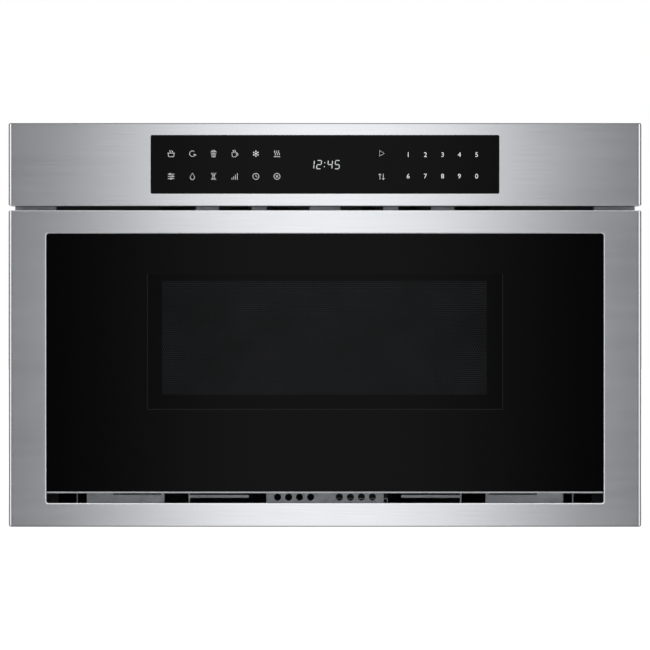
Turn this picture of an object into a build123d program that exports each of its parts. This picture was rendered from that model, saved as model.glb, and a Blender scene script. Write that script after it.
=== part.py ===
from build123d import *

import math
import os

os.makedirs("parts", exist_ok=True)

# A motorised microwave oven drawer, built into a cabinet. All sizes are in millimetres.
# X runs to the right of a person who faces the drawer, Y runs into the cabinet, Z is up.
# The origin is at the middle of the base's front edge: Y = 0 is the cabinet face that the
# mounting flanges seat on, and Z = 0 is the shelf that the base stands on.

# ---- driving dimensions: the face ----
FACE_WIDTH = 758.8          # across both fascias
FRONT_HEIGHT = 379.5        # drawer front
PANEL_HEIGHT = 99.3         # control panel fascia above it
FACE_GAP = 5.4              # open gap between the two
FACE_DROP = 22.0            # the face hangs this far below the shelf
FACE_DEPTH = 30.0           # folded depth of both fascias
FACE_STANDOFF = 3.0         # fascia's back edge to the cabinet face
FASCIA_SHEET = 1.2
CORNER_RADIUS = 2.4
EDGE_RADIUS = 1.0           # rounding of the folded front edges
HEM_WIDTH = 7.0             # inward hem at the back of the fascias
STILE = 45.0
TOP_RAIL = 27.7
BOTTOM_RAIL = 28.3
OPENING_RADIUS = 3.0
OPENING_RETURN = 6.0        # depth of the inward fold round the opening
AIR_SLOT = 13.7             # open slot between bottom rail and glass

# ---- driving dimensions: glass and door ----
GLASS = 4.0
GLASS_LAP = 8.0             # glass hidden behind the frame, left, right and top
GLASS_ARRIS = 0.5
DOOR_SHEET = 1.2
DOOR_RISE = 4.0             # door panel's lower edge above the glass's
SCREEN_WIDTH = 390.0
SCREEN_HEIGHT = 136.0
SCREEN_STEP = 0.6           # depth of the screen's pressed step
PAN_SHEET = 1.0
PAN_LAP = 14.0              # flange of the screen pan on the door panel
PAN_SEAT = 10.0             # how much of that flange the panel's window leaves free
PAN_MARGIN_SIDE = 4.0       # pan beyond the cavity's walls, left and right
PAN_MARGIN_HEIGHT = 5.5     # and above and below them
INNER_SHEET = 1.6
CHOKE_WIDTH = 28.0
CHOKE_LIP = 14.0
CHOKE_PITCH = 24.0
CHOKE_SLOT = 3.0
COVER_WALL = 1.6
COVER_ROOM = 1.0            # free space between the comb and its cover, besides the fit
SEAL_GAP = 1.6              # choke cover to the front plate

# ---- driving dimensions: chassis ----
FACE_OVERHANG = 23.9        # face beyond the case, left and right
CASE_TOP_DROP = 34.2        # case top below the face's top
OVERALL_DEPTH = 593.7
CASE_SHEET = 1.0
CASE_BEND = 2.5
BASE_SHEET = 1.2
BASE_UPTURN = 14.0
PLATE_SHEET = 1.2
FLANGE_SHEET = 1.5
FLANGE_INSET = 5.0          # flange's outer edge inside the fascia's
FLANGE_COVER = 30.5         # how far the flange reaches in past the case side
FLANGE_WING = 25.0
FLANGE_FOOT = 4.0
MOUNT_HOLE_RADIUS = 2.75
MOUNT_HOLE_INSET = 8.6      # from the flange's outer edge
MOUNT_HOLE_LOW = 40.0
MOUNT_HOLE_PITCH = 150.0
MOUNT_HOLES = 3
LOUVRE_HEIGHT = 3.5
GRILLE_HEIGHT = 24.0

# ---- driving dimensions: slides and drive ----
SLIDE_SIDE_GAP = 55.5       # case side to the slide's bracket
SLIDE_MID = 50.0            # height of the slides' centre line
SLIDE_HEIGHT = 42.0
SLIDE_DEPTH = 12.5          # bracket to the arm
SLIDE_SHEET = 1.2
SLIDE_FRONT = 20.0
SLIDE_BAY = 86.2            # slides' rear ends to the rear wall
SLIDE_OVERLAP = 50.0        # what the members still share when the drawer is open
MIDDLE_SHORTER = 20.0       # middle member, shorter than the outer one
INNER_SHORTER = 10.0        # inner member, shorter than the outer one
BALL_RADIUS = 1.8
BALL_PLAY = 0.05
CAGE_SHEET = 0.6
BRACKET_SHEET = 1.5
ARM_SHEET = 1.5
ARM_HEIGHT = 36.0
GEAR_MODULE = 2.0
PINION_TEETH = 18
PRESSURE_ANGLE = 20.0
BACKLASH = 0.3
GEAR_FACE = 10.0
PINION_Y = 34.0
RACK_RISE = 4.0             # rack above the slides' centre line
RACK_BACK = 9.0
RACK_FOOT_MARGIN = 4.0      # rack's foot above its teeth
SHAFT_RADIUS = 4.0
SHAFT_PLAY = 0.05

# ---- driving dimensions: cavity and drawer ----
SIDE_BAY = 131.5            # case side to the cavity, on either side
REAR_BAY = 126.2            # cavity to the rear wall
CAVITY_TOP_ROOM = 62.0      # cavity's roof to the top of the drawer front
CHOKE_CLEARANCE = 1.1       # choke cover above the rack's foot
CAVITY_SHEET = 1.0
DOME_RADIUS = 112.0
DOME_HEIGHT = 15.0
TUB_WALL = 3.0
TUB_SIDE_GAP = 6.0
TUB_FLOOR_GAP = 2.0
TUB_REAR_GAP = 18.0
TUB_HEIGHT = 118.0
TUB_LEDGE = 20.0
TUB_FLANGE = 12.0
TUB_FLANGE_DEPTH = 3.0
TUB_CORNER = 14.0
TRAY = 5.0
TRAY_GAP = 0.5

# ---- named clearances ----
FIT = 0.3                   # between pieces that must not touch
PASS = 3.0                  # round what slides through the front plate
THROUGH = 1.0               # how far a cut runs past the faces that it opens

# ---- how round forms out of sight are kept light ----
FEW_SIDES = 8               # flat sides of small round forms
SOME_SIDES = 12
MANY_SIDES = 16             # and of large ones
FLAT_CORNER = 2 - math.sqrt(2)      # a flat that touches a rounded corner, for a radius of 1

# ---- places worked out from the above: face and chassis ----
FACE_BACK = -FACE_STANDOFF
FACE_FRONT = FACE_BACK - FACE_DEPTH
FRONT_Z = (-FACE_DROP, FRONT_HEIGHT - FACE_DROP)
PANEL_Z = (FRONT_Z[1] + FACE_GAP, FRONT_Z[1] + FACE_GAP + PANEL_HEIGHT)
PANEL_MID = (PANEL_Z[0] + PANEL_Z[1]) / 2
FACE_HALF = FACE_WIDTH / 2
OPENING_HALF = FACE_HALF - STILE
OPENING_Z = (FRONT_Z[0] + BOTTOM_RAIL, FRONT_Z[1] - TOP_RAIL)
GLASS_Y = (FACE_FRONT + OPENING_RETURN, FACE_FRONT + OPENING_RETURN + GLASS)
GLASS_Z = (OPENING_Z[0] + AIR_SLOT, OPENING_Z[1] + GLASS_LAP)

CASE_HALF = FACE_HALF - FACE_OVERHANG
CASE_HEIGHT = PANEL_Z[1] - CASE_TOP_DROP
CASE_REAR = OVERALL_DEPTH + FACE_FRONT - LOUVRE_HEIGHT
REAR_INNER = CASE_REAR - CASE_SHEET
BASE_HALF = CASE_HALF - CASE_SHEET
FLANGE_OUTER = FACE_HALF - FLANGE_INSET
FLANGE_INNER = CASE_HALF - FLANGE_COVER
PLATE_HALF = FLANGE_INNER - 1.0
PLATE_FRONT = -PLATE_SHEET
PLATE_TOP = CASE_HEIGHT - CASE_SHEET
MOUNT_X = FLANGE_OUTER - MOUNT_HOLE_INSET
MOUNT_Z = [MOUNT_HOLE_LOW + row * MOUNT_HOLE_PITCH for row in range(MOUNT_HOLES)]

# ---- slides, drive and drawer ----
OUTER_LENGTH = REAR_INNER - SLIDE_BAY - SLIDE_FRONT
MIDDLE_LENGTH = OUTER_LENGTH - MIDDLE_SHORTER
INNER_LENGTH = OUTER_LENGTH - INNER_SHORTER
TRAVEL = MIDDLE_LENGTH - SLIDE_OVERLAP      # how far the drawer opens
SLIDE_FACE = CASE_HALF - SLIDE_SIDE_GAP
SLIDE_Z = (SLIDE_MID - SLIDE_HEIGHT / 2, SLIDE_MID + SLIDE_HEIGHT / 2)
PITCH_RADIUS = GEAR_MODULE * PINION_TEETH / 2
ROOT_DEPTH = 1.25 * GEAR_MODULE
RACK_Z = (SLIDE_MID + RACK_RISE, SLIDE_MID + RACK_RISE + GEAR_FACE)

# ---- cavity and door ----
PAN_BACK = PLATE_FRONT - SEAL_GAP - INNER_SHEET
DOOR_BACK = PLATE_FRONT - SEAL_GAP
CHOKE_BACK = PAN_BACK - COVER_WALL - 0.8
COVER_REACH = CHOKE_WIDTH + FIT + COVER_WALL + COVER_ROOM   # choke cover beyond the pan
CAVITY_HALF = CASE_HALF - SIDE_BAY
CAVITY_DEPTH = REAR_INNER - REAR_BAY
CAVITY_FLOOR = RACK_Z[1] + RACK_FOOT_MARGIN + CHOKE_CLEARANCE + COVER_REACH + PAN_MARGIN_HEIGHT
CAVITY_Z = (CAVITY_FLOOR, FRONT_Z[1] - CAVITY_TOP_ROOM)
CAVITY_MID = (CAVITY_Z[0] + CAVITY_Z[1]) / 2
ROOF = CAVITY_Z[1] + CAVITY_SHEET
PAN_HALF = CAVITY_HALF + PAN_MARGIN_SIDE
PAN_Z = (CAVITY_Z[0] - PAN_MARGIN_HEIGHT, CAVITY_Z[1] + PAN_MARGIN_HEIGHT)
CHOKE_HALF = PAN_HALF + CHOKE_WIDTH
CHOKE_Z = (PAN_Z[0] - CHOKE_WIDTH, PAN_Z[1] + CHOKE_WIDTH)
DOOR_Y = (GLASS_Y[1], GLASS_Y[1] + DOOR_SHEET)
DOOR_HALF = FACE_HALF - FASCIA_SHEET
DOOR_Z = (GLASS_Z[0] + DOOR_RISE, FRONT_Z[1] - FASCIA_SHEET)


# ---- small helpers ----
def centred(middle, size):
    """Limits of a size about a middle."""
    return (middle - size / 2, middle + size / 2)


def both(half):
    """Limits that lie evenly about the object's middle."""
    return (-half, half)


def grown(limits, margin):
    """Limits moved apart by a margin at each end, or together by a negative one."""
    return (limits[0] - margin, limits[1] + margin)


def mirrored(near, far, side):
    """Limits of a stretch on one side of the middle: side is 1 for right, -1 for left."""
    return sorted((side * near, side * far))


def block(x, y, z):
    """A solid box between pairs of limits."""
    spans = (x, y, z)
    middle = [(low + high) / 2 for low, high in spans]
    return Pos(*middle) * Box(*[high - low for low, high in spans])


def outline(width, height, radius, flat=False):
    """A rectangle with rounded corners, or with flat ones that touch the rounding."""
    if radius <= 0:
        return Rectangle(width, height)
    if flat:
        return chamfer(Rectangle(width, height).vertices(), radius * FLAT_CORNER)
    return RectangleRounded(width, height, radius)


def upright(half, z, y, radius=0.0, flat=False):
    """A plate that stands across the drawer, with rounded or flat corners."""
    plane = Plane(origin=(0, y[0], (z[0] + z[1]) / 2), x_dir=(1, 0, 0), z_dir=(0, 1, 0))
    return extrude(plane * outline(2 * half, z[1] - z[0], radius, flat), y[1] - y[0])


def ring(half, z, y, wall, radius=0.0):
    """A rectangular wall that stands across the drawer, open front and back."""
    inside = upright(half - wall, grown(z, -wall), grown(y, THROUGH), radius - wall, flat=True)
    return upright(half, z, y, radius, flat=True) - inside


def plan(half, y, z, radius):
    """A plate that lies flat, with rounded corners at its back only."""
    face = Pos(0, (y[0] + y[1]) / 2, z[0]) * Rectangle(2 * half, y[1] - y[0])
    plate = extrude(face, z[1] - z[0])
    rear = plate.edges().filter_by(Axis.Z).group_by(Axis.Y)[-1]
    return fillet(rear, radius)


def rod(radius, start, end, sides=0):
    """A round bar between two points on a line along X, Y or Z, or one with flat sides."""
    length = math.dist(start, end)
    way = [(b - a) / length for a, b in zip(start, end)]
    section = RegularPolygon(radius, sides) if sides else Circle(radius)
    return extrude(Plane(origin=start, z_dir=way) * section, length)


def hole(radius, start, end, sides=FEW_SIDES):
    """The cut for a hole with flat sides, which leave the circle of its radius free."""
    return rod(radius / math.cos(math.pi / sides), start, end, sides)


def across(x):
    """Plane for a profile in Y and Z that is extruded to the right, from x."""
    return Plane(origin=(x, 0, 0), x_dir=(0, 1, 0), z_dir=(1, 0, 0))


def along(y):
    """Plane for a profile in X and Z that is extruded towards the front, from y's far limit."""
    return Plane(origin=(0, y[1], 0), x_dir=(1, 0, 0), z_dir=(0, -1, 0))


def rounded_fold(points, sheet, bend, plane, length):
    """A folded sheet: points give its outer face, anticlockwise, seen along the plane."""
    line = FilletPolyline(*points, radius=bend)
    return extrude(plane * make_face(offset(line, sheet, side=Side.LEFT)), length)


def folded(points, sheet, bend, plane, length):
    """The same with a flat for each bend, for sheets out of sight."""
    corners = [Vector(*point) for point in points]
    outer = [corners[0]]
    for before, corner, after in zip(corners, corners[1:], corners[2:]):
        for leg in (before - corner, after - corner):
            outer.append(corner + leg.normalized() * bend * FLAT_CORNER)
    outer.append(corners[-1])
    ways = [(b - a).normalized() for a, b in zip(outer, outer[1:])]
    inner = []
    for place, point in enumerate(outer):
        arriving, leaving = ways[max(place - 1, 0)], ways[min(place, len(ways) - 1)]
        left = Vector(-arriving.Y - leaving.Y, arriving.X + leaving.X)
        inner.append(point + left * (sheet / (1 + arriving.dot(leaving))))
    return extrude(plane * make_face(Polyline(*outer, *reversed(inner), close=True)), length)


def save(name, *pieces):
    """Write one piece, or a group of like pieces, as a STEP file."""
    solids = [solid for piece in pieces for solid in piece.solids()]
    export_step(solids[0] if len(solids) == 1 else Compound(solids), f"parts/{name}.step")


def save_pair(name, right_piece):
    """Write a piece on the right, and its mirror image on the left."""
    save(f"{name}_right", right_piece)
    save(f"{name}_left", mirror(right_piece, Plane.YZ))


# ---- drawer front ----
def fascia(z, opening_half, opening_z, opening_radius, opening_return):
    """A folded tray of sheet, open at the back, with an opening that is folded inward."""
    outer = upright(FACE_HALF, z, (FACE_FRONT, FACE_BACK), CORNER_RADIUS)
    outer = fillet(outer.edges().group_by(Axis.Y)[0], EDGE_RADIUS)
    inner_z = grown(z, -FASCIA_SHEET)
    inner_half = FACE_HALF - FASCIA_SHEET
    inner_y = (FACE_FRONT + FASCIA_SHEET, FACE_BACK - FASCIA_SHEET)
    tray = outer - upright(inner_half, inner_z, inner_y, CORNER_RADIUS - FASCIA_SHEET, flat=True)
    tray -= upright(inner_half - HEM_WIDTH, grown(inner_z, -HEM_WIDTH), (inner_y[1] - THROUGH, 0))
    if opening_return > FASCIA_SHEET:
        collar_y = (FACE_FRONT + FASCIA_SHEET / 2, FACE_FRONT + opening_return)
        tray += upright(opening_half + FASCIA_SHEET, grown(opening_z, FASCIA_SHEET), collar_y,
                        opening_radius + FASCIA_SHEET, flat=True)
    hole_y = (FACE_FRONT, FACE_FRONT + max(opening_return, FASCIA_SHEET))
    return tray - upright(opening_half, opening_z, grown(hole_y, THROUGH), opening_radius)


def drawer_front_frame():
    frame = fascia(FRONT_Z, OPENING_HALF, OPENING_Z, OPENING_RADIUS, OPENING_RETURN)
    rim = frame.edges().group_by(Axis.Y)[0]
    rim = rim.filter_by(lambda edge: abs(edge.center().X) < OPENING_HALF + EDGE_RADIUS)
    rim = rim.filter_by(lambda edge: OPENING_Z[0] - EDGE_RADIUS < edge.center().Z < OPENING_Z[1] + EDGE_RADIUS)
    return chamfer(rim, EDGE_RADIUS)


def drawer_glass():
    pane = upright(OPENING_HALF + GLASS_LAP, GLASS_Z, GLASS_Y, OPENING_RADIUS)
    return chamfer(pane.edges().group_by(Axis.Y)[0], GLASS_ARRIS)


DOOR_WINDOW = (70.0, 34.0)          # lightening windows: height and width
DOOR_WINDOW_RADIUS = 15.0
DOOR_WINDOW_OFFSET = 60.0           # from the choke
DOOR_WINDOW_RISES = (110.0, 235.0)  # above the panel's lower edge
DOOR_HOLE_RADIUS = 6.0


def door_panel():
    """Pressed steel panel behind the glass, its edges turned back against the frame."""
    back = FACE_BACK - FASCIA_SHEET
    panel = upright(DOOR_HALF, DOOR_Z, (DOOR_Y[0], back), CORNER_RADIUS - FASCIA_SHEET, flat=True)
    panel -= upright(DOOR_HALF - DOOR_SHEET, grown(DOOR_Z, -DOOR_SHEET), (DOOR_Y[1], 0))
    cut_y = grown(DOOR_Y, THROUGH)
    panel -= upright(PAN_HALF - PAN_SEAT, grown(PAN_Z, -PAN_SEAT), cut_y, DOOR_HOLE_RADIUS, flat=True)
    for side in (-1, 1):
        for rise in DOOR_WINDOW_RISES:
            place = Plane(origin=(side * (CHOKE_HALF + DOOR_WINDOW_OFFSET), cut_y[0], DOOR_Z[0] + rise),
                          x_dir=(0, 0, 1), z_dir=(0, 1, 0))
            panel -= extrude(place * outline(*DOOR_WINDOW, DOOR_WINDOW_RADIUS, flat=True), cut_y[1] - cut_y[0])
    return panel


PAN_FLANGE_RADIUS = 4.0
PAN_RADIUS = 3.0


def screen_pan():
    """Raised pan that faces the cavity: its flange lies on the door panel."""
    flange_y = (DOOR_Y[1], DOOR_Y[1] + PAN_SHEET)
    pan = upright(PAN_HALF + PAN_LAP, grown(PAN_Z, PAN_LAP), flange_y, PAN_FLANGE_RADIUS, flat=True)
    pan += upright(PAN_HALF, PAN_Z, (DOOR_Y[1], PAN_BACK), PAN_RADIUS, flat=True)
    floor = PAN_BACK - PAN_SHEET
    pan -= upright(PAN_HALF - PAN_SHEET, grown(PAN_Z, -PAN_SHEET), (GLASS_Y[1], floor),
                   PAN_RADIUS - PAN_SHEET, flat=True)
    # the screen's own area is pressed forward, so that its edge shows as a step
    half, z = SCREEN_WIDTH / 2, centred(CAVITY_MID, SCREEN_HEIGHT)
    step_y = (PAN_BACK - SCREEN_STEP, PAN_BACK + THROUGH)
    pan += upright(half + PAN_SHEET, grown(z, PAN_SHEET), (floor - SCREEN_STEP, floor), PAN_RADIUS, flat=True)
    return pan - upright(half, z, step_y, PAN_RADIUS, flat=True)


INNER_SHEET_TOP_GAP = 12.0
INNER_SHEET_RADIUS = 5.0


def inner_window():
    """Clear sheet on the pan, between the drawer and the screen."""
    half = CAVITY_HALF - TUB_SIDE_GAP - TUB_FLANGE - FIT
    z = (TUB_Z[0] + TUB_FLANGE + FIT, CAVITY_Z[1] - INNER_SHEET_TOP_GAP)
    return upright(half, z, (PAN_BACK, PAN_BACK + INNER_SHEET), INNER_SHEET_RADIUS, flat=True)


CHOKE_RADIUS = 3.0


def choke_comb():
    """Ring of sheet round the pan; slots divide its inward lip into fingers."""
    comb = ring(CHOKE_HALF, CHOKE_Z, (DOOR_Y[1], CHOKE_BACK), DOOR_SHEET, CHOKE_RADIUS)
    lip_y = (CHOKE_BACK - DOOR_SHEET, CHOKE_BACK)
    comb += ring(CHOKE_HALF, CHOKE_Z, lip_y, CHOKE_LIP, CHOKE_RADIUS)
    foot_y = (DOOR_Y[1], DOOR_Y[1] + DOOR_SHEET)
    foot_width = CHOKE_WIDTH - PAN_LAP - FIT
    comb += ring(CHOKE_HALF, CHOKE_Z, foot_y, foot_width, CHOKE_RADIUS)
    slot_y = (lip_y[0] - THROUGH, CHOKE_BACK + THROUGH)
    cuts = []
    columns = int(2 * (CHOKE_HALF - CHOKE_LIP) / CHOKE_PITCH)
    for column in range(columns + 1):
        x = centred((column - columns / 2) * CHOKE_PITCH, CHOKE_SLOT)
        cuts.append(block(x, slot_y, (CHOKE_Z[0] + DOOR_SHEET, CHOKE_Z[0] + CHOKE_LIP + THROUGH)))
        cuts.append(block(x, slot_y, (CHOKE_Z[1] - CHOKE_LIP - THROUGH, CHOKE_Z[1] - DOOR_SHEET)))
    rows = int((CHOKE_Z[1] - CHOKE_Z[0] - 2 * CHOKE_LIP) / CHOKE_PITCH)
    for row in range(rows + 1):
        z = centred(CAVITY_MID + (row - rows / 2) * CHOKE_PITCH, CHOKE_SLOT)
        for side in (-1, 1):
            x = mirrored(CHOKE_HALF - CHOKE_LIP - THROUGH, CHOKE_HALF - DOOR_SHEET, side)
            cuts.append(block(x, slot_y, z))
    return comb - cuts


COVER_RADIUS = 5.0
COVER_EDGE = 1.0


def choke_cover():
    """Moulded cap over the choke: a flat ring with a skirt down to the door panel."""
    half = PAN_HALF + COVER_REACH
    z = grown(PAN_Z, COVER_REACH)
    cover = upright(half, z, (DOOR_Y[1], DOOR_BACK), COVER_RADIUS, flat=True)
    cover = chamfer(cover.edges().group_by(Axis.Y)[-1], COVER_EDGE)
    hollow_y = (DOOR_Y[1] - THROUGH, DOOR_BACK - COVER_WALL)
    cover -= upright(half - COVER_WALL, grown(z, -COVER_WALL), hollow_y, COVER_RADIUS - COVER_WALL, flat=True)
    return cover - upright(PAN_HALF + FIT, grown(PAN_Z, FIT), (hollow_y[0], 0), PAN_RADIUS, flat=True)


# ---- drawer tub and tray ----
TUB_HALF = CAVITY_HALF - TUB_SIDE_GAP
TUB_Z = (CAVITY_Z[0] + TUB_FLOOR_GAP, CAVITY_Z[0] + TUB_FLOOR_GAP + TUB_HEIGHT)
TUB_Y = (PAN_BACK, CAVITY_DEPTH - TUB_REAR_GAP)
TUB_INNER_Y = (TUB_Y[0] + TUB_FLANGE_DEPTH, TUB_Y[1] - TUB_WALL)
TUB_RIM = 4.0                       # height of the rolled rim
TUB_RIM_OUT = 2.0                   # rim beyond the wall, outside
TUB_RIM_START = 6.0                 # rim's front end behind the flange's face
RIB_WIDTH = 4.0
RIB_INSET = 30.0
RIB_ENDS = (20.0, 30.0)             # rib's ends inside the tub's front and rear
TRAY_Z = (TUB_Z[0] + TUB_WALL, TUB_Z[0] + TUB_WALL + TRAY)
TRAY_RIM = 12.0
TRAY_DISH = 1.2
TRAY_DISH_RADIUS = 10.0


def drawer_tub():
    """Moulded tub, open at the front, where its U-shaped flange seats on the screen pan."""
    tub = plan(TUB_HALF, TUB_Y, TUB_Z, TUB_CORNER)
    inner_y = (TUB_Y[0] - THROUGH, TUB_INNER_Y[1])
    inner_z = (TUB_Z[0] + TUB_WALL, TUB_Z[1] + THROUGH)
    tub -= plan(TUB_HALF - TUB_WALL, inner_y, inner_z, TUB_CORNER - TUB_WALL)
    floor_y = (TUB_Y[0] + TUB_FLANGE + TUB_LEDGE, TUB_INNER_Y[1] - TUB_LEDGE)
    tub -= block(both(TUB_HALF - TUB_WALL - TUB_LEDGE), floor_y, grown((TUB_Z[0], inner_z[0]), THROUGH))
    rim_z = (TUB_Z[1] - TUB_RIM, TUB_Z[1])
    rim_y = (TUB_Y[0] + TUB_RIM_START, TUB_Y[1] + TUB_RIM_OUT)
    rim = plan(TUB_HALF + TUB_RIM_OUT, rim_y, rim_z, TUB_CORNER + TUB_RIM_OUT)
    tub += rim - plan(TUB_HALF - TUB_WALL / 2, inner_y, grown(rim_z, THROUGH), TUB_CORNER - TUB_WALL / 2)
    flange_y = (TUB_Y[0], TUB_INNER_Y[0])
    mouth_z = (TUB_Z[0] + TUB_FLANGE, TUB_Z[1] + THROUGH)
    flange = upright(TUB_HALF, TUB_Z, flange_y)
    tub += flange - upright(TUB_HALF - TUB_FLANGE, mouth_z, grown(flange_y, THROUGH))
    for side in (-1, 1):
        rib_x = centred(side * (TUB_HALF - RIB_INSET), RIB_WIDTH)
        rib_y = (TUB_Y[0] + RIB_ENDS[0], TUB_Y[1] - RIB_ENDS[1])
        tub += block(rib_x, rib_y, (CAVITY_Z[0] + FIT, inner_z[0]))
    return tub


def ceramic_tray():
    half = TUB_HALF - TUB_WALL - TRAY_GAP
    y = grown(TUB_INNER_Y, -TRAY_GAP)
    tray = plan(half, y, TRAY_Z, TUB_CORNER - TUB_WALL)
    dish_z = (TRAY_Z[1] - TRAY_DISH, TRAY_Z[1] + THROUGH)
    dish = block(both(half - TRAY_RIM), grown(y, -TRAY_RIM), dish_z)
    return tray - fillet(dish.edges().filter_by(Axis.Z), TRAY_DISH_RADIUS)


# ---- drawer arms, cross bar and rack ----
ARM_X = (SLIDE_FACE - SLIDE_DEPTH - ARM_SHEET, SLIDE_FACE - SLIDE_DEPTH)
ARM_Z = centred(SLIDE_MID, ARM_HEIGHT)
ARM_FOOT = 24.0
ARM_BEND = 2.0
ARM_WINDOW = (56.0, 12.0)
ARM_WINDOW_RADIUS = 5.0
ARM_WINDOWS = 4
BAR_DEPTH = 12.0
BAR_LESS = 8.0                      # bar lower than the arms
BAR_RISE = 3.0
BAR_END_GAP = 1.0
BAR_REAR = SLIDE_FRONT + INNER_LENGTH - ARM_SHEET
BAR_Z = centred(SLIDE_MID + BAR_RISE, ARM_HEIGHT - BAR_LESS)


def drawer_arm():
    """Right-hand arm: a folded channel from the door panel to the rear cross bar."""
    rear = BAR_REAR + ARM_SHEET
    points = [(ARM_X[1] - ARM_FOOT, DOOR_Y[1]), (ARM_X[1], DOOR_Y[1]),
              (ARM_X[1], rear), (ARM_X[1] - ARM_FOOT, rear)]
    arm = folded(points, ARM_SHEET, ARM_BEND, Plane(origin=(0, 0, ARM_Z[0])), ARM_HEIGHT)
    pitch = (rear - SLIDE_FRONT) / ARM_WINDOWS
    for place in range(ARM_WINDOWS):
        spot = across(ARM_X[0] - THROUGH) * Pos(SLIDE_FRONT + (place + 0.5) * pitch, SLIDE_MID)
        arm -= extrude(spot * outline(*ARM_WINDOW, ARM_WINDOW_RADIUS, flat=True), ARM_SHEET + 2 * THROUGH)
    return arm


def rear_cross_bar():
    """Channel between the arms, its web against their turned-in rear ends."""
    points = [(BAR_REAR - BAR_DEPTH, BAR_Z[0]), (BAR_REAR, BAR_Z[0]),
              (BAR_REAR, BAR_Z[1]), (BAR_REAR - BAR_DEPTH, BAR_Z[1])]
    half = ARM_X[0] - BAR_END_GAP
    return folded(points, ARM_SHEET, ARM_BEND, across(-half), 2 * half)


RACK_PITCH_X = 2.5                  # rack's pitch line, right of the middle
RACK_REAR = BAR_REAR - ARM_SHEET
RACK_SPARE_TEETH = 6
RACK_FOOT_SIDE = 8.0
RACK_FOOT_DEPTH = 4.0
RACK_FOOT_DROP = 6.0


def drive_rack():
    """Straight rack on the drawer's middle line; its teeth point to the right."""
    step = math.pi * GEAR_MODULE
    slope = math.tan(math.radians(PRESSURE_ANGLE))
    half_tooth = step / 4 - BACKLASH / 4
    tip, root = RACK_PITCH_X + GEAR_MODULE, RACK_PITCH_X - ROOT_DEPTH
    back = root - RACK_BACK
    tip_half = half_tooth - GEAR_MODULE * slope
    root_half = half_tooth + ROOT_DEPTH * slope
    first = PINION_Y - 2.5 * step       # a gap faces the pinion while the drawer is shut
    points = [(back, DOOR_Y[1]), (root, DOOR_Y[1])]
    for tooth in range(int(TRAVEL / step) + RACK_SPARE_TEETH):
        middle = first + tooth * step
        points += [(root, middle - root_half), (tip, middle - tip_half),
                   (tip, middle + tip_half), (root, middle + root_half)]
    points += [(root, RACK_REAR), (back, RACK_REAR)]
    rack = extrude(Pos(0, 0, RACK_Z[0]) * make_face(Polyline(*points, close=True)), GEAR_FACE)
    foot_z = (RACK_Z[0] - RACK_FOOT_DROP, RACK_Z[1] + RACK_FOOT_MARGIN)
    return rack + block(grown((back, tip), RACK_FOOT_SIDE), (DOOR_Y[1], DOOR_Y[1] + RACK_FOOT_DEPTH), foot_z)


# ---- latch hooks ----
HOOK_X = SLIDE_FACE - 12.0
HOOK_THICK = 6.0
HOOK_HEIGHT = 16.0
HOOK_TIP = 20.0                     # depth of the hook's tip in the chassis
HOOK_FOOT = 3.0
HOOK_FOOT_MARGIN = 6.0
HOOK_BARB = 8.0                     # length of the barb
HOOK_BARB_RISE = 5.0
HOOK_NOSE = 4.0


def latch_hook():
    """Moulded hook on the door panel that reaches through the front plate."""
    low, high = centred(CAVITY_MID, HOOK_HEIGHT)
    shank = high - HOOK_BARB_RISE
    start, foot = DOOR_Y[1], DOOR_Y[1] + HOOK_FOOT
    points = [(start, low - HOOK_FOOT_MARGIN), (foot, low - HOOK_FOOT_MARGIN), (foot, low),
              (HOOK_TIP - HOOK_BARB, low), (HOOK_TIP, low + HOOK_NOSE), (HOOK_TIP, high - HOOK_NOSE),
              (HOOK_TIP - HOOK_NOSE, high), (HOOK_TIP - HOOK_BARB, high), (HOOK_TIP - HOOK_BARB, shank),
              (foot + 2 * HOOK_NOSE, shank), (foot, high), (foot, high + HOOK_FOOT_MARGIN),
              (start, high + HOOK_FOOT_MARGIN)]
    return extrude(across(HOOK_X - HOOK_THICK / 2) * make_face(Polyline(*points, close=True)), HOOK_THICK)


# ---- slides: three nested members a side, with two ball cages ----
OUTER_HALF = SLIDE_HEIGHT / 2
BALL_TRACK = 2 * (BALL_RADIUS + BALL_PLAY)
OUTER_BALL_Z = OUTER_HALF - SLIDE_SHEET - BALL_TRACK / 2
MIDDLE_HALF = OUTER_HALF - SLIDE_SHEET - BALL_TRACK
INNER_BALL_Z = MIDDLE_HALF - SLIDE_SHEET - BALL_TRACK / 2
INNER_HALF = MIDDLE_HALF - SLIDE_SHEET - BALL_TRACK
WEB_GAP = 0.6                       # between the webs of neighbours in a slide
CAGE_OUTER_WEB = SLIDE_SHEET + WEB_GAP
MIDDLE_WEB = CAGE_OUTER_WEB + CAGE_SHEET + WEB_GAP
CAGE_INNER_WEB = MIDDLE_WEB + SLIDE_SHEET + WEB_GAP
SLIDE_LIP = 2.0
OUTER_EDGE = 11.5                   # depths of the members' free edges
MIDDLE_EDGE = 11.0
INNER_EDGE = 6.4
CAGE_EDGE = 10.0
OUTER_BALL_DEPTH = 7.2
INNER_BALL_DEPTH = 8.2
MIDDLE_SETBACK = 4.0                # members' front ends behind the outer one's
INNER_SETBACK = 2.0
CAGE_SPARE = 5.0
CAGE_LENGTH = SLIDE_OVERLAP + TRAVEL / 4 + CAGE_SPARE
CAGE_BALLS = 2                      # in each row
CAGE_END = 10.0                     # first ball to the cage's end
CAGE_SETBACK = 15.0
CAGE_FRONT_OUTER = SLIDE_FRONT + TRAVEL / 4 + CAGE_SETBACK
CAGE_FRONT_INNER = SLIDE_FRONT + TRAVEL / 2


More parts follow.
